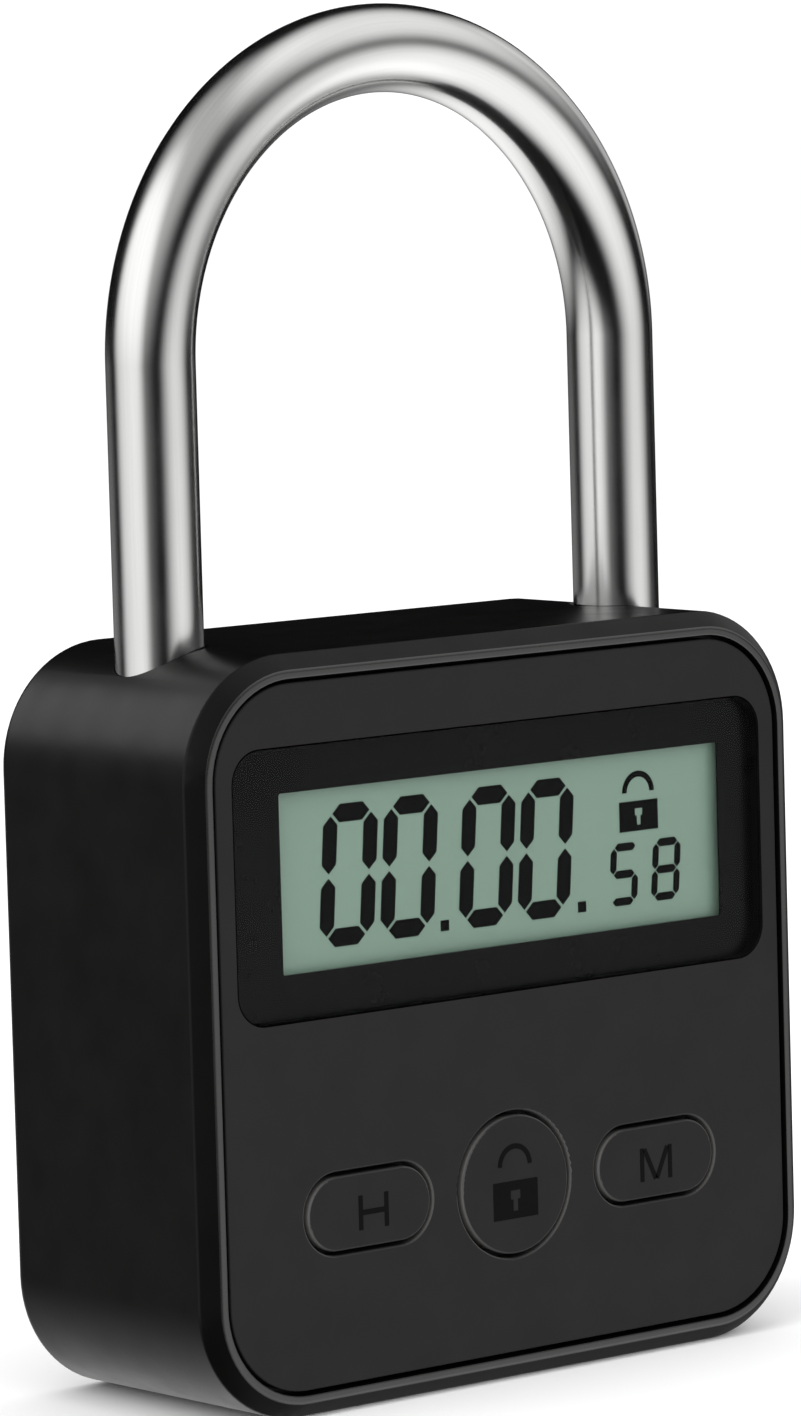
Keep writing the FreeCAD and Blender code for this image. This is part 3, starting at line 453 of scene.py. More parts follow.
# Metals. Streak stretches the marks of the tool along one axis.
Metal = namedtuple("Metal", "colour roughness streak relief")
PLAIN_STEEL = (0.56, 0.56, 0.55)
GROUND_STEEL = Metal(PLAIN_STEEL, roughness=0.3, streak=(0.15, 1.0, 1.0), relief=0.15)
TURNED_STEEL = Metal(PLAIN_STEEL, roughness=0.26, streak=(1.0, 1.0, 4.0), relief=0.1)
SOCKET_STEEL = Metal((0.6, 0.6, 0.6), roughness=0.28, streak=(1.0, 1.0, 0.2), relief=0.1)
SCREW_BLACKING = Metal((0.05, 0.05, 0.052), roughness=0.38, streak=(1.0, 1.0, 1.0), relief=0.1)
CUT_BRASS = Metal((0.72, 0.53, 0.24), roughness=0.27, streak=(1.0, 1.0, 3.0), relief=0.1)

STREAK_GRAIN = 1200.0
STREAK_SHADES = (0.92, 1.05)
STREAK_DROP, STREAK_RISE = 0.05, 0.07
STREAK_DEPTH = 0.02 * MM


def metal_finish(name, metal):
    """Worked metal with fine streaks."""
    finish, shader = new_finish(name, metal.colour, metal.roughness, metallic=1.0)
    lines = noise(finish, place_on_piece(finish, metal.streak), STREAK_GRAIN, detail=4.0)
    gloss = (metal.roughness - STREAK_DROP, metal.roughness + STREAK_RISE)
    vary_gloss(finish, shader, lines, *gloss)
    vary_colour(finish, shader, lines, metal.colour, *STREAK_SHADES)
    add_bump(finish, shader, lines, metal.relief, STREAK_DEPTH)
    return finish


ROD_MAP = "along_rod"
ROD_STRETCH = (9.0, 0.35, 1.0)
ROD_LINES = 1.6
ROD_SHADES = (0.94, 1.04)
ROD_CLOUDS = 140.0
ROD_GLOSS = (0.15, 0.2)
ROD_RELIEF = 0.05


def rod_finish(settings):
    """Polished plating; the faint polishing lines follow the rod through its own UV map."""
    colour = tuple(settings.steel_colour)
    finish, shader = new_finish("rod_plating", colour, ROD_GLOSS[0], metallic=1.0)
    along = add_node(finish, "ShaderNodeUVMap", uv_map=ROD_MAP)
    mapping = add_node(finish, "ShaderNodeMapping")
    mapping.inputs["Scale"].default_value = ROD_STRETCH
    join(finish, along.outputs["UV"], mapping.inputs["Vector"])
    lines = noise(finish, mapping.outputs["Vector"], ROD_LINES, detail=5.0)
    vary_gloss(finish, shader, noise(finish, place_on_piece(finish), ROD_CLOUDS), *ROD_GLOSS)
    vary_colour(finish, shader, lines, colour, *ROD_SHADES)
    add_bump(finish, shader, lines, ROD_RELIEF, FINE_DEPTH)
    return finish


# Board, strip, pouch and floor


BOARD_GREEN = (0.012, 0.11, 0.04)
TRACK_GREEN = (0.03, 0.2, 0.07)
BOARD_ROUGHNESS = 0.35
TRACK_GRAIN = 420.0
TRACK_EDGE = (0.04, 0.09)
TRACK_RELIEF = 0.4
TRACK_DEPTH = 0.03 * MM


def board_finish():
    """Solder mask with the faint relief of the copper below it."""
    finish, shader = new_finish("board_mask", BOARD_GREEN, BOARD_ROUGHNESS)
    tracks = add_node(finish, "ShaderNodeTexVoronoi", feature="DISTANCE_TO_EDGE", distance="MANHATTAN")
    tracks.inputs["Scale"].default_value = TRACK_GRAIN
    join(finish, place_on_piece(finish), tracks.inputs["Vector"])
    lines = spread(finish, tracks.outputs["Distance"], 1.0, 0.0, *TRACK_EDGE)
    join(finish, blend_colours(finish, lines, BOARD_GREEN, TRACK_GREEN), shader.inputs["Base Color"])
    add_bump(finish, shader, lines, TRACK_RELIEF, TRACK_DEPTH)
    return finish


STRIP_RED = (0.5, 0.14, 0.16)
STRIP_CARBON = (0.03, 0.03, 0.03)
STRIP_ROUGHNESS = 0.6
STRIP_LAYERS = 900.0


def strip_finish():
    """Rubber strip of thin layers, by turns conductive and not."""
    finish, shader = new_finish("strip_layers", STRIP_RED, STRIP_ROUGHNESS)
    bands = add_node(finish, "ShaderNodeTexWave", bands_direction="X")
    bands.inputs["Scale"].default_value = STRIP_LAYERS
    join(finish, place_on_piece(finish), bands.inputs["Vector"])
    colours = blend_colours(finish, bands.outputs["Fac"], STRIP_RED, STRIP_CARBON)
    join(finish, colours, shader.inputs["Base Color"])
    return finish


FOIL_COLOUR = (0.66, 0.67, 0.69)
FOIL_GLOSS = (0.24, 0.4)
CREASE_GRAIN = 260.0
CREASE_RELIEF = 0.5
CREASE_DEPTH = 0.15 * MM


def foil_finish():
    """Slightly creased pouch foil."""
    finish, shader = new_finish("pouch_foil", FOIL_COLOUR, FOIL_GLOSS[0], metallic=1.0)
    creases = noise(finish, place_on_piece(finish), CREASE_GRAIN, detail=6.0)
    vary_gloss(finish, shader, creases, *FOIL_GLOSS)
    add_bump(finish, shader, creases, CREASE_RELIEF, CREASE_DEPTH)
    return finish


FLOOR_ROUGHNESS = 0.85
FLOOR_GRAIN = 6.0
FLOOR_SHADES = (0.995, 1.005)


def floor_finish(settings):
    pale = tuple(settings.floor_colour)
    finish, shader = new_finish("floor_paper", pale, FLOOR_ROUGHNESS, shine=0.0)
    drift = noise(finish, place_on_piece(finish), FLOOR_GRAIN, detail=2.0)
    vary_colour(finish, shader, drift, pale, *FLOOR_SHADES)
    return finish


# Mesh helpers


ONE_FACE_ANGLE = math.radians(0.4)
CRISP_ANGLE = math.radians(28)
CASTING_CREASE = math.radians(36)
PLASTIC_CREASE = math.radians(50)
ROD_CREASE = math.radians(30)


def add_object(name, data):
    item = bpy.data.objects.new(name, data)
    bpy.context.scene.collection.objects.link(item)
    return item


def add_mesh(name, bm, finish):
    mesh = bpy.data.meshes.new(name)
    bm.to_mesh(mesh)
    bm.free()
    mesh.materials.append(finish)
    return add_object(name, mesh)


def finish_piece(name, bm, finish, body):
    """Turns a bmesh into a piece with its material that rides on a body."""
    piece = add_mesh(name, bm, finish)
    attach(piece, body)
    return piece


def shade_by_angle(bm, limit):
    """Smooth faces, with sharp edges where two faces meet at more than the limit."""
    for face in bm.faces:
        face.smooth = True
    for edge in bm.edges:
        edge.smooth = len(edge.link_faces) != 2 or edge.calc_face_angle() < limit


def keep_flats_flat(piece):
    """Weights the normals by face area, so large flats stay flat beside small roundings."""
    weigh = piece.modifiers.new("flat_faces", "WEIGHTED_NORMAL")
    weigh.keep_sharp = True


def merged_copy(node):
    """Mesh of a CAD node with its loose triangles joined into whole faces."""
    bm = bmesh.new()
    bm.from_mesh(frame["nodes"][node].data)
    bmesh.ops.remove_doubles(bm, verts=bm.verts, dist=MERGE_REACH)
    bmesh.ops.dissolve_limit(bm, angle_limit=ONE_FACE_ANGLE, verts=bm.verts, edges=bm.edges)
    return bm


def soften(bm, edges, width):
    """Rounds the chosen edges."""
    bmesh.ops.bevel(
        bm,
        geom=edges,
        offset=width,
        offset_type="OFFSET",
        segments=2,
        profile=0.5,
        affect="EDGES",
        clamp_overlap=True,
        material=-1,
    )


def crisp_edges(bm):
    pairs = [e for e in bm.edges if len(e.link_faces) == 2]
    return [e for e in pairs if e.calc_face_angle() > CRISP_ANGLE]


def dressed_node(node, name, finish, body, slot, reshape=None, crease=PLASTIC_CREASE):
    """Smooth copy of a CAD node that takes its place; reshape works on the merged mesh."""
    bm = merged_copy(node)
    if reshape:
        reshape(bm)
    shade_by_angle(bm, crease)
    piece = finish_piece(name, bm, finish, body)
    keep_flats_flat(piece)
    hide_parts(node)
    return piece


def give_finish(finish, *nodes):
    """CAD nodes keep their meshes and get a better material."""
    for node in nodes:
        mesh = frame["nodes"][node].data
        mesh.materials.clear()
        mesh.materials.append(finish)


def thin_plate(bm, verts, thickness):
    """Thickens a flat face, drawn in the front view, by thickness towards the front."""
    faces = list({f for v in verts for f in v.link_faces})
    grown = bmesh.ops.extrude_face_region(bm, geom=faces)
    front = [v for v in grown["geom"] if isinstance(v, bmesh.types.BMVert)]
    bmesh.ops.translate(bm, verts=front, vec=(0.0, -thickness, 0.0))


def to_front_view(centre_x, y, centre_z, turn=0.0):
    """Places a shape drawn flat in X and Y so that it faces the front."""
    upright = Matrix.Rotation(UPRIGHT, 4, "X")
    return Matrix.Translation((centre_x, y, centre_z)) @ upright @ Matrix.Rotation(turn, 4, "Z")


def flat_bar(bm, centre, length, width, y, thickness, turn=0.0):
    """Straight mark with square ends."""
    verts = bmesh.ops.create_grid(bm, x_segments=1, y_segments=1, size=0.5)["verts"]
    bmesh.ops.scale(bm, verts=verts, vec=(length, width, 1.0))
    bmesh.ops.transform(bm, matrix=to_front_view(centre[0], y, centre[1], turn), verts=verts)
    thin_plate(bm, verts, thickness)


TIP_REACH = 0.1


def pointed_bar(bm, centre, length, width, y, turn):
    """Display segment: two arrow ends, drawn from a six-sided circle pulled long."""
    verts = bmesh.ops.create_circle(bm, cap_ends=True, radius=1.0, segments=6)["verts"]
    shoulder = length / 2 - width / 2
    for vert in verts:
        tip = abs(vert.co.x) < TIP_REACH
        run = math.copysign(length / 2 if tip else shoulder, vert.co.y)
        side = 0.0 if tip else math.copysign(width / 2, vert.co.x)
        vert.co = (run, side, 0.0)
    bmesh.ops.transform(bm, matrix=to_front_view(centre[0], y, centre[1], turn), verts=verts)
    return verts


# Housing


RIM_WIDTH = 2.6 * MM
FRONT_EDGE_DEPTH = 1.5 * MM
REAR_EDGE_DEPTH = 1.2 * MM
CORNER_RADIUS = 9.6 * MM
LIP_ROUNDING = 0.1 * MM
LIP_FACING = 0.3


def depth_in_outline(place):
    """How far a place lies inside the casting's round-cornered outline, seen from the front."""
    centre_z = (SHELL_LOW[2] + SHELL_HIGH[2]) / 2
    past_x = abs(place.x) - (SHELL_HIGH[0] - CORNER_RADIUS)
    past_z = abs(place.z - centre_z) - (SHELL_HIGH[2] - centre_z - CORNER_RADIUS)
    if past_x > 0 and past_z > 0:
        return CORNER_RADIUS - math.hypot(past_x, past_z)
    return CORNER_RADIUS - max(past_x, past_z)


def on_outline(edge):
    """Tells the sharp edges round the front and the rear from those that run between them."""
    first, second = (v.co for v in edge.verts)
    middle = (first + second) / 2
    runs_back = abs(first.y - second.y) > MERGE_REACH
    near_front = middle.y < SHELL_LOW[1] + FRONT_EDGE_DEPTH
    near_rear = middle.y > SHELL_HIGH[1] - REAR_EDGE_DEPTH
    return depth_in_outline(middle) < RIM_WIDTH and (near_front or near_rear) and not runs_back


def polish_and_highlight_lip(piece, finish):
    """Gives the lip round the front panel its smoother, glossier coat, with its colour lightened as a
    painted highlight.
    """
    mesh = piece.data
    mesh.materials.append(finish)
    for face in mesh.polygons:
        if face.center.y < SHELL_LOW[1] + LIP_ROUNDING and face.normal.y < -LIP_FACING:
            face.material_index = 1


# Shackle


END_CHAMFER = 0.8 * MM
NECK_SHOULDER = 0.4 * MM
NECK_GAP = 0.05 * MM
NECK_OVERRUN = 0.1 * MM
NOTCH_GAP = 0.4 * MM
NOTCH_FLOOR_GAP = 0.15 * MM
FREE_LEG_DEPTH = 11.0 * MM
ROUNDS_OF_MAP = 8.0


def travel(joint):
    """How far a sliding joint goes."""
    return next(j["range_m"][1] for j in frame["joints"] if j["name"] == joint)


def next_ring(bm, ring, rise, factor=1.0, axis=(0.0, 0.0, 0.0)):
    """Extrudes a ring of edges along Z and scales it about the rod's axis."""
    grown = bmesh.ops.extrude_edge_only(bm, edges=ring)["geom"]
    verts = [v for v in grown if isinstance(v, bmesh.types.BMVert)]
    bmesh.ops.translate(bm, verts=verts, vec=(0.0, 0.0, rise))
    space = Matrix.Translation(-Vector(axis))
    bmesh.ops.scale(bm, verts=verts, vec=(factor, factor, 1.0), space=space)
    return [e for e in grown if isinstance(e, bmesh.types.BMEdge)]


def follow_leg(bm, ring, axis, stations):
    """Carries a ring through a leg's heights and radii."""
    height, radius = stations[0]
    for next_height, next_radius in stations[1:]:
        ring = next_ring(bm, ring, next_height - height, next_radius / radius, axis)
        height, radius = next_height, next_radius
    return ring


def ring_verts(ring):
    return list({v for e in ring for v in e.verts})


def long_leg_stations():
    """Heights and radii up the long leg: chamfered end, turned neck, plain rod."""
    end = ROD_LOW[2]
    pin_low, pin_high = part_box("retaining_pin")
    neck_radius = (pin_low[0] + LEG_X) - NECK_GAP
    neck_top = pin_high[2] + NECK_OVERRUN
    neck_bottom = pin_low[2] - travel("shackle_lift") - NECK_OVERRUN
    return [
        (end, ROD_RADIUS - END_CHAMFER),
        (end + END_CHAMFER, ROD_RADIUS),
        (neck_bottom - NECK_SHOULDER, ROD_RADIUS),
        (neck_bottom, neck_radius),
        (neck_top, neck_radius),
        (neck_top + NECK_SHOULDER, ROD_RADIUS),
        (BOW_Z, ROD_RADIUS),
    ]


def cut_notch(bm, ring, flat_x, depth):
    """Steps the ring in to the notch's flat, carries it down, and steps it out again."""
    inner_side = min(v.co.x for v in ring_verts(ring))
    step_in = next_ring(bm, ring, 0.0)
    for vert in ring_verts(step_in):
        vert.co.x = max(vert.co.x, flat_x)
    floor = next_ring(bm, step_in, -depth)
    step_out = next_ring(bm, floor, 0.0)
    for vert in ring_verts(step_out):
        reach = math.sqrt(max(0.0, ROD_RADIUS ** 2 - (vert.co.y - LEG_Y) ** 2))
        if vert.co.x <= flat_x + MERGE_REACH:
            vert.co.x = max(inner_side, LEG_X - reach)
    return step_out


def add_free_leg(bm, ring):
    """Carries the ring down the free leg: plain rod, notch for the latch, chamfered end."""
    axis = (LEG_X, LEG_Y, 0.0)
    bolt_low, bolt_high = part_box("latch_bolt")
    notch_top = bolt_high[2] + NOTCH_GAP
    notch_bottom = bolt_low[2] - NOTCH_GAP
    flat_x = bolt_high[0] + travel("latch_throw") + NOTCH_FLOOR_GAP
    end = SHELL_HIGH[2] - FREE_LEG_DEPTH
    ring = follow_leg(bm, ring, axis, [(BOW_Z, ROD_RADIUS), (notch_top, ROD_RADIUS)])
    ring = cut_notch(bm, ring, flat_x, notch_top - notch_bottom)
    below = [(notch_bottom, ROD_RADIUS), (end + END_CHAMFER, ROD_RADIUS), (end, ROD_RADIUS - END_CHAMFER)]
    return follow_leg(bm, ring, axis, below)


def mark_along_rod(bm):
    """UV map of the rod: parts of a turn round it, and rod diameters along it."""
    layer = bm.loops.layers.uv.new(ROD_MAP)
    for face in bm.faces:
        turns = []
        for loop in face.loops:
            x, y, z = loop.vert.co
            swing = math.atan2(z - BOW_Z, x) if z > BOW_Z else (0.0 if x > 0 else math.pi)
            outward = (math.hypot(x, z - BOW_Z) if z > BOW_Z else abs(x)) - LEG_X
            turn = math.atan2(y - LEG_Y, outward) / (2 * math.pi)
            if turns:
                turn += round(turns[0] - turn)
            turns.append(turn)
            below = BOW_Z - z if z < BOW_Z else 0.0
            along = swing * LEG_X - below if x > 0 else swing * LEG_X + below
            loop[layer].uv = (turn * ROUNDS_OF_MAP, along / (2 * ROD_RADIUS))


def make_shackle(settings):
    """One bent rod, made by carrying a round section up, round the bow and down."""
    bm = bmesh.new()
    stations = long_leg_stations()
    foot, foot_radius = stations[0]
    start = Matrix.Translation((-LEG_X, LEG_Y, foot))
    sides = settings.rod_segments
    bmesh.ops.create_circle(bm, cap_ends=True, radius=foot_radius, segments=sides, matrix=start)
    ring = follow_leg(bm, list(bm.edges), (-LEG_X, LEG_Y, 0.0), stations)
    spun = bmesh.ops.spin(
        bm,
        geom=ring,
        cent=(0.0, LEG_Y, BOW_Z),
        axis=(0.0, 1.0, 0.0),
        angle=math.pi,
        steps=settings.bow_steps,
        use_merge=False,
    )
    ring = [e for e in spun["geom_last"] if isinstance(e, bmesh.types.BMEdge)]
    bmesh.ops.contextual_create(bm, geom=add_free_leg(bm, ring))
    bmesh.ops.remove_doubles(bm, verts=bm.verts, dist=MERGE_REACH)
    bmesh.ops.recalc_face_normals(bm, faces=bm.faces)
    mark_along_rod(bm)
    shade_by_angle(bm, ROD_CREASE)
    piece = finish_piece("shackle_rod_polished", bm, rod_finish(settings), "shackle_rod")
    keep_flats_flat(piece)
    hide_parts("shackle")
    return piece


# Display


WINDOW_SHIFT = Vector((0.85 * MM, 0.0, -0.12 * MM))
OPENING_HALF_WIDTH = 23.5 * MM
PRINT_GAP = 0.01 * MM
RIM_REACH = 0.5 * MM
# Reach and least strength of the painted edge highlight round the buttons.
HIGHLIGHT_DEPTH = 1.2 * MM
HIGHLIGHT_LEAST = 0.15
FLAT_LEAN = 0.95
SIDE_LEAN = 0.7
PRINT_FRONT, PRINT_REAR = (corner[1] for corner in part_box("display_mask"))


def move_opening(bm, nearest_y):
    """Moves the display opening of the mask or the panel, so that the border looks even."""
    ring = [
        v for v in bm.verts
        if abs(v.co.x) < OPENING_HALF_WIDTH and CELL_LOW[2] < v.co.z < CELL_HIGH[2] and v.co.y > nearest_y
    ]
    bmesh.ops.translate(bm, verts=ring, vec=WINDOW_SHIFT)


def open_panel(bm):
    """Moves the opening at the back of the panel, and leaves the window's seat."""
    move_opening(bm, PRINT_REAR - MERGE_REACH)


def open_print(bm):
    """Moves the print's opening, and sets its front back so that it shares no face with the plate."""
    move_opening(bm, PRINT_FRONT - MERGE_REACH)
    face_on = [v for v in bm.verts if v.co.y < PRINT_FRONT + PRINT_GAP]
    bmesh.ops.translate(bm, verts=face_on, vec=(0.0, PRINT_GAP, 0.0))


def paint_edge_highlights(piece):
    """Marks the rounded edges round the buttons for a painted highlight, most where they face sideways."""
    marks = piece.data.attributes.new(EDGE_HIGHLIGHT_MARK, "FLOAT", "FACE").data
    for kind in BUTTON_KINDS:
        low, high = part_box(kind + "_button")
        for face, mark in zip(piece.data.polygons, marks):
            x, y, z = face.center
            near_x = low[0] - RIM_REACH < x < high[0] + RIM_REACH
            near_z = low[2] - RIM_REACH < z < high[2] + RIM_REACH
            leans = face.normal.y > -FLAT_LEAN and y < low[1] + HIGHLIGHT_DEPTH
            if near_x and near_z and leans:
                mark.value = min(1.0, HIGHLIGHT_LEAST + abs(face.normal.x))


def print_plate_edges(piece, finish):
    """Blackens the narrow sides of the window plate, as its rear print does."""
    piece.data.materials.append(finish)
    for face in piece.data.polygons:
        if abs(face.normal.y) < SIDE_LEAN:
            face.material_index = 1


# Lit segments: a is at the top, b to f follow clockwise, and g is the middle one.
LIT = {
    "0": "abcdef",
    "1": "bc",
    "2": "abged",
    "3": "abgcd",
    "4": "fgbc",
    "5": "afgcd",
    "6": "afgcde",
    "7": "abc",
    "8": "abcdefg",
    "9": "abcdfg",
}
SEGMENT_GAP = 0.25
FIGURE_THICKNESS = 0.03 * MM
FIGURE_LIFT = 0.005 * MM

# A figure is given by its width, height and stroke.
LARGE_FIGURE = (4.05 * MM, 9.6 * MM, 1.42 * MM)
SMALL_FIGURE = (2.35 * MM, 4.35 * MM, 0.64 * MM)
LARGE_FIGURES_Z = 41.6 * MM
SMALL_FIGURES_Z = 38.75 * MM
HOUR_FIGURES_X = (-16.2 * MM, -10.1 * MM)
MINUTE_FIGURES_X = (-2.1 * MM, 4.0 * MM)
SECOND_FIGURES_X = (12.2 * MM, 16.7 * MM)
DOTS_X = (-6.65 * MM, 7.65 * MM)
DOTS_Z = 36.6 * MM
DOT_SIDE = 0.85 * MM
FIGURE_SHIFT = Vector((1.68 * MM, 0.0, -0.25 * MM))


def segment_places(width, height):
    """Centre, turn and run of each segment of one figure about its own middle."""
    half = width / 2
    quarter = height / 4
    level = 0.0
    return {
        "a": ((0.0, height / 2), level, width),
        "g": ((0.0, 0.0), level, width),
        "d": ((0.0, -height / 2), level, width),
        "b": ((half, quarter), UPRIGHT, height / 2),
        "c": ((half, -quarter), UPRIGHT, height / 2),
        "f": ((-half, quarter), UPRIGHT, height / 2),
        "e": ((-half, -quarter), UPRIGHT, height / 2),
    }


def draw_figure(bm, figure, centre, width, height, stroke, y, slant):
    """One seven-segment figure; the lit segments lean with the slant."""
    for key, (middle, turn, run) in segment_places(width, height).items():
        if key not in LIT[figure]:
            continue
        spot = (centre[0] + middle[0], centre[1] + middle[1])
        verts = pointed_bar(bm, spot, run - SEGMENT_GAP * stroke, stroke, y, turn)
        for vert in verts:
            vert.co.x += (vert.co.z - centre[1]) * math.tan(slant)
        thin_plate(bm, verts, FIGURE_THICKNESS)


def draw_figures(settings, y):
    """Hours and minutes in large figures, seconds in small ones, and the dots between them."""
    bm = bmesh.new()
    for text, places in ((settings.hours, HOUR_FIGURES_X), (settings.minutes, MINUTE_FIGURES_X)):
        for figure, x in zip(text, places):
            draw_figure(bm, figure, (x, LARGE_FIGURES_Z), *LARGE_FIGURE, y, settings.slant)
    for figure, x in zip(settings.seconds, SECOND_FIGURES_X):
        draw_figure(bm, figure, (x, SMALL_FIGURES_Z), *SMALL_FIGURE, y, settings.slant)
    for x in DOTS_X:
        flat_bar(bm, (x, DOTS_Z), DOT_SIDE, DOT_SIDE, y, FIGURE_THICKNESS)
    return bm


# Padlock signs and button marks


LockSign = namedtuple("LockSign", "x z width height bow_width bow_rise stroke thickness")
MARK_THICKNESS = 0.02 * MM
MARK_LIFT = 0.002 * MM
MARK_STROKE = 0.42 * MM
DISPLAY_SIGN = LockSign(
    x=13.9 * MM,
    z=43.3 * MM,
    width=4.1 * MM,
    height=2.4 * MM,
    bow_width=3.4 * MM,
    bow_rise=0.7 * MM,
    stroke=0.48 * MM,
    thickness=FIGURE_THICKNESS,
)
BUTTON_SIGN = LockSign(
    x=0.0,
    z=14.3 * MM,
    width=4.6 * MM,
    height=3.0 * MM,
    bow_width=3.5 * MM,
    bow_rise=1.2 * MM,
    stroke=MARK_STROKE,
    thickness=MARK_THICKNESS,
)

# Shares of the sign's height, then of the keyhole's radius.
KEYHOLE_RADIUS = 0.17
KEYHOLE_RISE = 0.08
KEYHOLE_FOOT = 0.2
SLOT_SIDE = 0.5
SLOT_TOP = 0.4
BOW_STEPS = 24
RADIUS_SLACK = 1.01

LETTER_Z = 15.3 * MM
LETTER_HEIGHT = 2.7 * MM
LETTERS = (("H", "hour_key", -14.5 * MM, 3.0 * MM), ("M", "minute_key", 14.9 * MM, 3.4 * MM))
CORNER_TRIM = 0.6


def draw_lock_sign(sign, y):
    """Plain padlock sign: block with a keyhole, and a bow above it."""
    bm = bmesh.new()

    def draw_block(x, z, width, height):
        flat_bar(bm, (x, z), width, height, y, sign.thickness)

    low = sign.z - sign.height / 2
    high = low + sign.height
    key_radius = sign.height * KEYHOLE_RADIUS
    key_z = sign.z + sign.height * KEYHOLE_RISE
    side = (sign.width - 2 * key_radius) / 2
    top = high - (key_z + key_radius)
    foot = sign.height * KEYHOLE_FOOT
    slot_side = key_radius * SLOT_SIDE
    slot_rise = key_z - key_radius * SLOT_TOP - (low + foot)
    for way in (-1, 1):
        draw_block(sign.x + way * (key_radius + side / 2), sign.z, side, sign.height)
    draw_block(sign.x, high - top / 2, 2 * key_radius, top)
    draw_block(sign.x, low + foot / 2, 2 * key_radius, foot)
    for way in (-1, 1):
        slot_x = sign.x + way * (key_radius - slot_side / 2)
        draw_block(slot_x, low + foot + slot_rise / 2, slot_side, slot_rise)
    draw_bow(bm, sign, high + sign.bow_rise, y)
    return bm


def draw_bow(bm, sign, z, y):
    """Half ring whose feet stop just above the block."""
    radius = sign.bow_width / 2
    centre = Vector((sign.x, y, z))
    foot = bm.verts.new((sign.x + radius - sign.stroke, y, z))
    toe = bm.verts.new((sign.x + radius, y, z))
    edge = bm.edges.new((foot, toe))
    bmesh.ops.spin(
        bm,
        geom=[edge, foot, toe],
        cent=centre,
        axis=(0.0, -1.0, 0.0),
        angle=math.pi,
        steps=BOW_STEPS,
        use_merge=False,
    )
    verts = [v for v in bm.verts if abs(v.co.y - y) < MERGE_REACH and (v.co.z - z) > -MERGE_REACH]
    verts = [v for v in verts if (v.co - centre).length < radius * RADIUS_SLACK]
    thin_plate(bm, verts, sign.thickness)


def make_figures(settings):
    y = CELL_LOW[1] - FIGURE_LIFT
    finish = figure_finish(settings)
    sign = draw_lock_sign(DISPLAY_SIGN, y)
    for name, bm in (("display_figures", draw_figures(settings, y)), ("display_lock_sign", sign)):
        bmesh.ops.translate(bm, verts=bm.verts, vec=FIGURE_SHIFT)
        bmesh.ops.recalc_face_normals(bm, faces=bm.faces)
        finish_piece(name, bm, finish, "housing")


def draw_letter(letter, x, width, y):
    """H or M in plain strokes."""
    bm = bmesh.new()

    def draw_stroke(stroke_x, run, turn=0.0):
        flat_bar(bm, (stroke_x, LETTER_Z), run, MARK_STROKE, y, MARK_THICKNESS, turn)

    half = (width - MARK_STROKE) / 2
    inner = half - MARK_STROKE / 2
    for way in (-1, 1):
        draw_stroke(x + way * half, LETTER_HEIGHT, UPRIGHT)
    if letter == "H":
        draw_stroke(x, width - 2 * MARK_STROKE)
        return bm
    lean = math.atan2(LETTER_HEIGHT, inner)
    run = math.hypot(LETTER_HEIGHT, inner) - CORNER_TRIM * MARK_STROKE
    for way in (-1, 1):
        draw_stroke(x + way * inner / 2, run, way * lean)
    return bm


def make_button_marks(settings):
    finish = mark_finish(settings)
    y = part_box("lock_button")[0][1] - MARK_LIFT
    benches = {body: draw_letter(letter, x, width, y) for letter, body, x, width in LETTERS}
    benches["lock_key"] = draw_lock_sign(BUTTON_SIGN, y)
    for body, bm in benches.items():
        bmesh.ops.recalc_face_normals(bm, faces=bm.faces)
        finish_piece(body + "_mark", bm, finish, body)


# Stage


# The camera was fitted to points of the photo by least squares.
PHOTO_LONG_SIDE = 1416
FOCAL_LENGTH_PIXELS = 7022.264
CAMERA_TURN = math.radians(39.951)
CAMERA_FALL = math.radians(5.612)
CAMERA_ROLL = math.radians(-1.595)
CAMERA_DISTANCE = 556.861 * MM
AIM = Vector((-0.225 * MM, 0.0, 52.409 * MM))
SENSOR_WIDTH = 36.0
NEAR_CLIP = 0.01
FLOOR_RADIUS = 6.0
FLOOR_SIDES = 64
WHITE = (1.0, 1.0, 1.0, 1.0)

# Angles are degrees from the camera's side, to its right; rises are degrees up.
REFLECTED_LAMPS = (
    {"angle": -59, "rise": 15, "core": 27, "edge": 51, "brightness": 0.78},
    {"angle": -40, "rise": 47, "core": 25, "edge": 69, "brightness": 0.5},
    {"angle": 102, "rise": 52, "core": 1, "edge": 49, "brightness": 0.95},
    {"angle": 66, "rise": -32, "core": 8, "edge": 52, "brightness": 1.15},
    {"angle": 116, "rise": -34, "core": 11, "edge": 33, "brightness": 0.35},
    {"angle": 146, "rise": 17, "core": 8, "edge": 22, "brightness": 0.5},
    {"angle": -138, "rise": -47, "core": 13, "edge": 50, "brightness": 0.85},
    {"angle": -168, "rise": -40, "core": 5, "edge": 45, "brightness": 0.3},
)


def view_direction(turn, fall):
    return Vector((math.sin(turn) * math.cos(fall), math.cos(turn) * math.cos(fall), -math.sin(fall)))


def make_camera():
    camera = bpy.data.cameras.new("camera")
    camera.sensor_width = SENSOR_WIDTH
    camera.lens = FOCAL_LENGTH_PIXELS * SENSOR_WIDTH / PHOTO_LONG_SIDE
    camera.clip_start = NEAR_CLIP
    holder = add_object("camera", camera)
    direction = view_direction(CAMERA_TURN, CAMERA_FALL)
    turn = direction.to_track_quat("-Z", "Y") @ Quaternion((0.0, 0.0, 1.0), CAMERA_ROLL)
    holder.matrix_world = Matrix.Translation(AIM - direction * CAMERA_DISTANCE) @ turn.to_matrix().to_4x4()
    bpy.context.scene.camera = holder


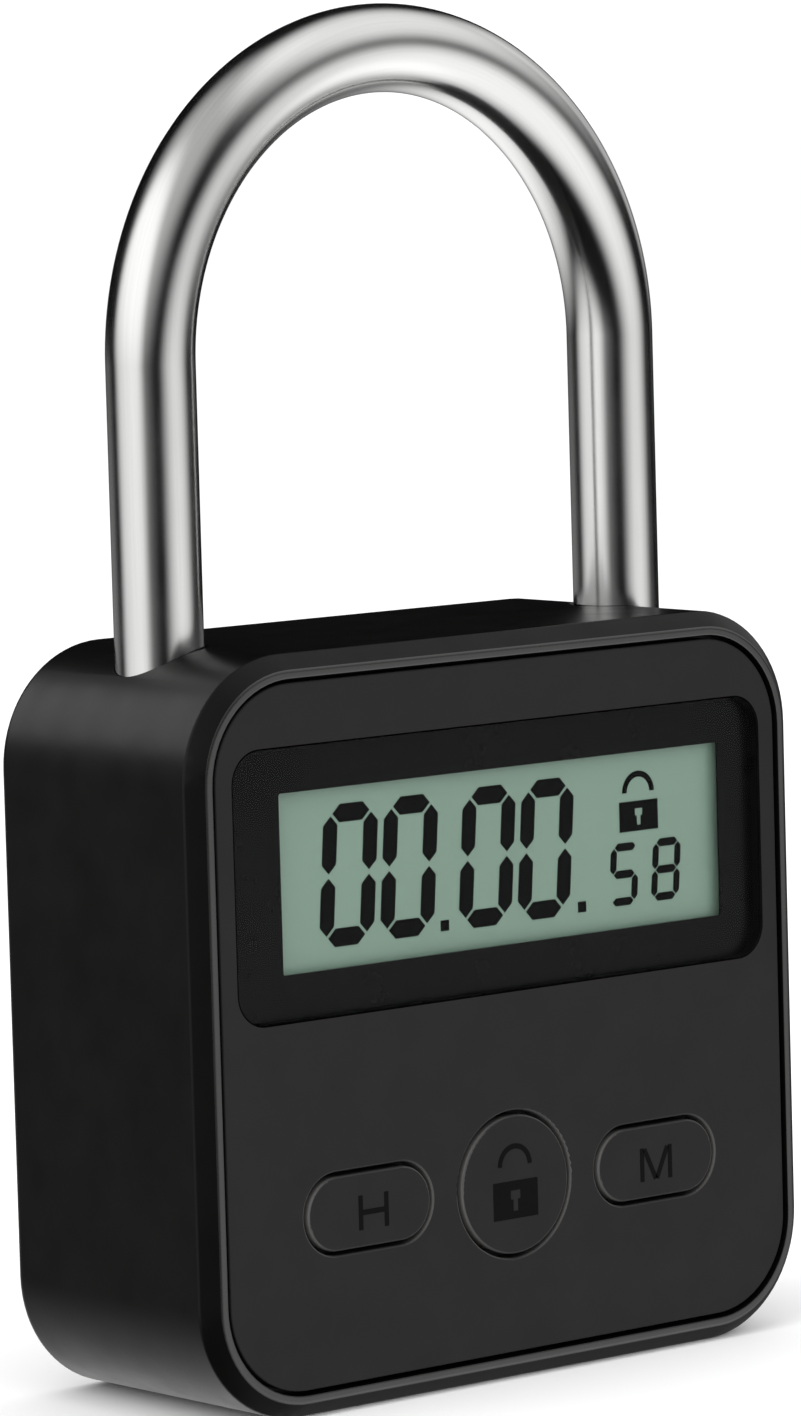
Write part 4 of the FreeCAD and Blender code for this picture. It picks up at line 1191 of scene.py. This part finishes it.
def add_lamp(name, power, angle, height, distance, width, tall):
    """Broad lamp that faces the lock; the angle is in degrees, from the camera's side to its right."""
    lamp = bpy.data.lights.new(name, "AREA")
    lamp.shape = "RECTANGLE"
    lamp.size = width
    lamp.size_y = tall
    lamp.energy = power
    holder = add_object(name, lamp)
    away = -view_direction(CAMERA_TURN - math.radians(angle), 0.0)
    spot = Vector((away.x * distance, away.y * distance, height))
    turn = (AIM - spot).to_track_quat("-Z", "Y")
    holder.matrix_world = Matrix.Translation(spot) @ turn.to_matrix().to_4x4()
    holder.visible_camera = False
    holder.visible_glossy = False
    return holder


def shine_on(lamp, names):
    """Keeps a lamp to the named pieces, and lets its reflection show in them."""
    lit = bpy.data.collections.new(lamp.name + "_pieces")
    for name in names:
        piece = bpy.data.objects.get(name) or frame["nodes"][name]
        lit.objects.link(piece)
    lamp.light_linking.receiver_collection = lit
    lamp.visible_glossy = True


def make_floor(settings):
    bm = bmesh.new()
    bmesh.ops.create_circle(bm, cap_ends=True, radius=FLOOR_RADIUS, segments=FLOOR_SIDES)
    floor = add_mesh("floor", bm, floor_finish(settings))
    floor.visible_glossy = False


def add_reflected_lamp(world, level, angle, rise, core, edge, brightness):
    """Soft round lamp for the glossy surfaces; it is full inside core and gone outside edge."""
    facing = -view_direction(CAMERA_TURN - math.radians(angle), math.radians(rise))
    where = add_node(world, "ShaderNodeTexCoord")
    closeness = add_node(world, "ShaderNodeVectorMath", operation="DOT_PRODUCT")
    closeness.inputs[1].default_value = facing
    join(world, where.outputs["Generated"], closeness.inputs[0])
    limits = (math.cos(math.radians(edge)), math.cos(math.radians(core)))
    fall_off = spread(world, closeness.outputs["Value"], 0.0, brightness, *limits, curve="SMOOTHSTEP")
    both = add_node(world, "ShaderNodeMath", operation="ADD")
    join(world, fall_off, both.inputs[0])
    join(world, level, both.inputs[1])
    return both.outputs["Value"]


def make_surroundings(settings):
    """White room for flat surfaces; glossy ones see a dark room with soft round lamps."""
    world = bpy.data.worlds.new("studio")
    world.use_nodes = True
    bpy.context.scene.world = world
    # Sampling the room as a light would put the white backdrop into glossy surfaces.
    world.cycles.sampling_method = "NONE"
    level = add_node(world, "ShaderNodeValue").outputs["Value"]
    level.default_value = settings.surround
    for lamp in REFLECTED_LAMPS:
        level = add_reflected_lamp(world, level, **lamp)
    room = world.node_tree.nodes["Background"]
    room.inputs["Color"].default_value = WHITE
    join(world, level, room.inputs["Strength"])
    backdrop = add_node(world, "ShaderNodeBackground")
    backdrop.inputs["Color"].default_value = WHITE
    backdrop.inputs["Strength"].default_value = settings.backdrop
    rays = add_node(world, "ShaderNodeLightPath")
    mix = add_node(world, "ShaderNodeMixShader")
    join(world, rays.outputs["Is Glossy Ray"], mix.inputs["Fac"])
    join(world, backdrop.outputs["Background"], mix.inputs[1])
    join(world, room.outputs["Background"], mix.inputs[2])
    join(world, mix.outputs["Shader"], world.node_tree.nodes["World Output"].inputs["Surface"])


# Operators


class PADLOCK_OT_housing(bpy.types.Operator):
    """Casting with softened edges and its powder coat"""

    bl_idname = "padlock.housing"
    bl_label = "Housing"

    def execute(self, context):
        settings = context.scene.padlock_housing

        def soften_outline(bm):
            soften(bm, [e for e in crisp_edges(bm) if on_outline(e)], settings.edge_softness)

        finish = casting_finish(settings)
        place = ("housing_casting", finish, "housing", "black_casting")
        piece = dressed_node("body_shell", *place, soften_outline, CASTING_CREASE)
        polish_and_highlight_lip(piece, lip_gloss_and_highlight_finish(settings))
        return {"FINISHED"}


class PADLOCK_OT_panel(bpy.types.Operator):
    """Front panel, window plate and printed mask"""

    bl_idname = "padlock.panel"
    bl_label = "Front panel"

    def execute(self, context):
        black = mask_finish()
        moulding = moulding_finish(context.scene.padlock_housing)
        place = ("front_panel_moulding", moulding, "housing", "dark_panel")
        paint_edge_highlights(dressed_node("front_panel", *place, open_panel))
        dressed_node("display_mask", "window_print", black, "housing", "black_mask", open_print)
        plate = dressed_node("display_lens", "window_plate", window_finish(), "housing", "clear_window")
        print_plate_edges(plate, black)
        return {"FINISHED"}


class PADLOCK_OT_buttons(bpy.types.Operator):
    """Three push buttons and the marks printed on them"""

    bl_idname = "padlock.buttons"
    bl_label = "Buttons"

    def execute(self, context):
        moulding = bpy.data.materials["matt_moulding"]
        for kind in BUTTON_KINDS:
            place = (kind + "_push_button", moulding, kind + "_key", "button_plastic")
            paint_edge_highlights(dressed_node(kind + "_button", *place))
        make_button_marks(context.scene.padlock_housing)
        return {"FINISHED"}


class PADLOCK_OT_display(bpy.types.Operator):
    """Liquid crystal cell and its darkened segments"""

    bl_idname = "padlock.display"
    bl_label = "Display"

    def execute(self, context):
        settings = context.scene.padlock_display
        give_finish(cell_finish(settings), "lcd_glass")
        make_figures(settings)
        return {"FINISHED"}


class PADLOCK_OT_shackle(bpy.types.Operator):
    """Polished shackle: long leg, bow and notched free leg"""

    bl_idname = "padlock.shackle"
    bl_label = "Shackle"

    def execute(self, context):
        make_shackle(context.scene.padlock_shackle)
        return {"FINISHED"}


class PADLOCK_OT_rear_cover(bpy.types.Operator):
    """Rear cover and its countersunk screws"""

    bl_idname = "padlock.rear_cover"
    bl_label = "Rear cover"

    def execute(self, context):
        give_finish(cover_finish(context.scene.padlock_housing), "rear_cover")
        give_finish(metal_finish("screw_blacking", SCREW_BLACKING), "cover_screws")
        return {"FINISHED"}


class PADLOCK_OT_electronics(bpy.types.Operator):
    """Circuit board, its parts and the battery"""

    bl_idname = "padlock.electronics"
    bl_label = "Electronics"

    def execute(self, context):
        white = coated_finish("white_moulding", WHITE_PLASTIC, PLASTIC_COAT)
        chip = coated_finish("chip_package", CHIP_BLACK, CHIP_COAT)
        plunger = coated_finish("plunger_moulding", CREAM_PLASTIC, PLASTIC_COAT)
        give_finish(white, "lcd_backlight", "lcd_frame")
        give_finish(chip, "controller_chip", "board_components", "tact_switches")
        give_finish(plunger, *(kind + "_switch_plunger" for kind in BUTTON_KINDS))
        give_finish(metal_finish("socket_steel", SOCKET_STEEL), "charge_socket")
        give_finish(strip_finish(), "contact_strip")
        give_finish(board_finish(), "main_board")
        give_finish(foil_finish(), "battery")
        return {"FINISHED"}


class PADLOCK_OT_latch(bpy.types.Operator):
    """Bolt, pinion, motor, spring and small steel parts"""

    bl_idname = "padlock.latch"
    bl_label = "Latch"

    def execute(self, context):
        turned = metal_finish("turned_steel", TURNED_STEEL)
        give_finish(metal_finish("ground_steel", GROUND_STEEL), "latch_bolt")
        give_finish(turned, "retaining_pin", "gear_shaft", "motor", "shackle_spring")
        give_finish(turned, "board_screws", "bracket_screws")
        give_finish(metal_finish("cut_brass", CUT_BRASS), "drive_pinion", "gearbox")
        give_finish(coated_finish("bracket_moulding", GREY_PLASTIC, BRACKET_COAT), "motor_bracket")
        return {"FINISHED"}


class PADLOCK_OT_stage(bpy.types.Operator):
    """Camera, pale floor, broad lamps and white surroundings"""

    bl_idname = "padlock.stage"
    bl_label = "Stage"

    def execute(self, context):
        settings = context.scene.padlock_stage
        context.scene.view_settings.view_transform = "Standard"
        make_camera()
        make_floor(settings)
        low = {"height": 0.42, "distance": 0.8, "tall": 1.2}
        high = {"height": 1.1, "distance": 0.35, "width": 0.7, "tall": 0.7}
        middle = {"height": 0.5, "distance": 0.75, "width": 0.55, "tall": 0.55}
        add_lamp("left_lamp", settings.left_power, angle=-50, width=1.1, **low)
        add_lamp("right_lamp", settings.right_power, angle=88, width=0.9, **low)
        add_lamp("top_lamp", settings.top_power, angle=-20, **high)
        corner_lamp = add_lamp("corner_lamp", settings.corner_power, angle=-112, **middle)
        shine_on(corner_lamp, ("housing_casting", "rear_cover"))
        make_surroundings(settings)
        return {"FINISHED"}


OPERATORS = (
    PADLOCK_OT_housing,
    PADLOCK_OT_panel,
    PADLOCK_OT_buttons,
    PADLOCK_OT_display,
    PADLOCK_OT_shackle,
    PADLOCK_OT_rear_cover,
    PADLOCK_OT_electronics,
    PADLOCK_OT_latch,
    PADLOCK_OT_stage,
)


class PADLOCK_PT_pieces(bpy.types.Panel):
    """Lists the padlock's pieces and their settings"""

    bl_idname = "PADLOCK_PT_pieces"
    bl_label = "Countdown padlock"
    bl_space_type = "VIEW_3D"
    bl_region_type = "UI"
    bl_category = "Padlock"

    def draw(self, context):
        for operator in OPERATORS:
            self.layout.operator(operator.bl_idname)
        for name, group in SETTINGS.items():
            box = self.layout.box()
            for key in group.__annotations__:
                box.prop(getattr(context.scene, name), key)


CLASSES = (*SETTINGS.values(), *OPERATORS, PADLOCK_PT_pieces)


def register():
    for item in CLASSES:
        bpy.utils.register_class(item)
    for name, group in SETTINGS.items():
        setattr(bpy.types.Scene, name, PointerProperty(type=group))


def unregister():
    for name in SETTINGS:
        delattr(bpy.types.Scene, name)
    for item in reversed(CLASSES):
        bpy.utils.unregister_class(item)


def main():
    register()
    for operator in OPERATORS:
        group, name = operator.bl_idname.split(".")
        getattr(getattr(bpy.ops, group), name)()


if __name__ == "__main__":
    main()
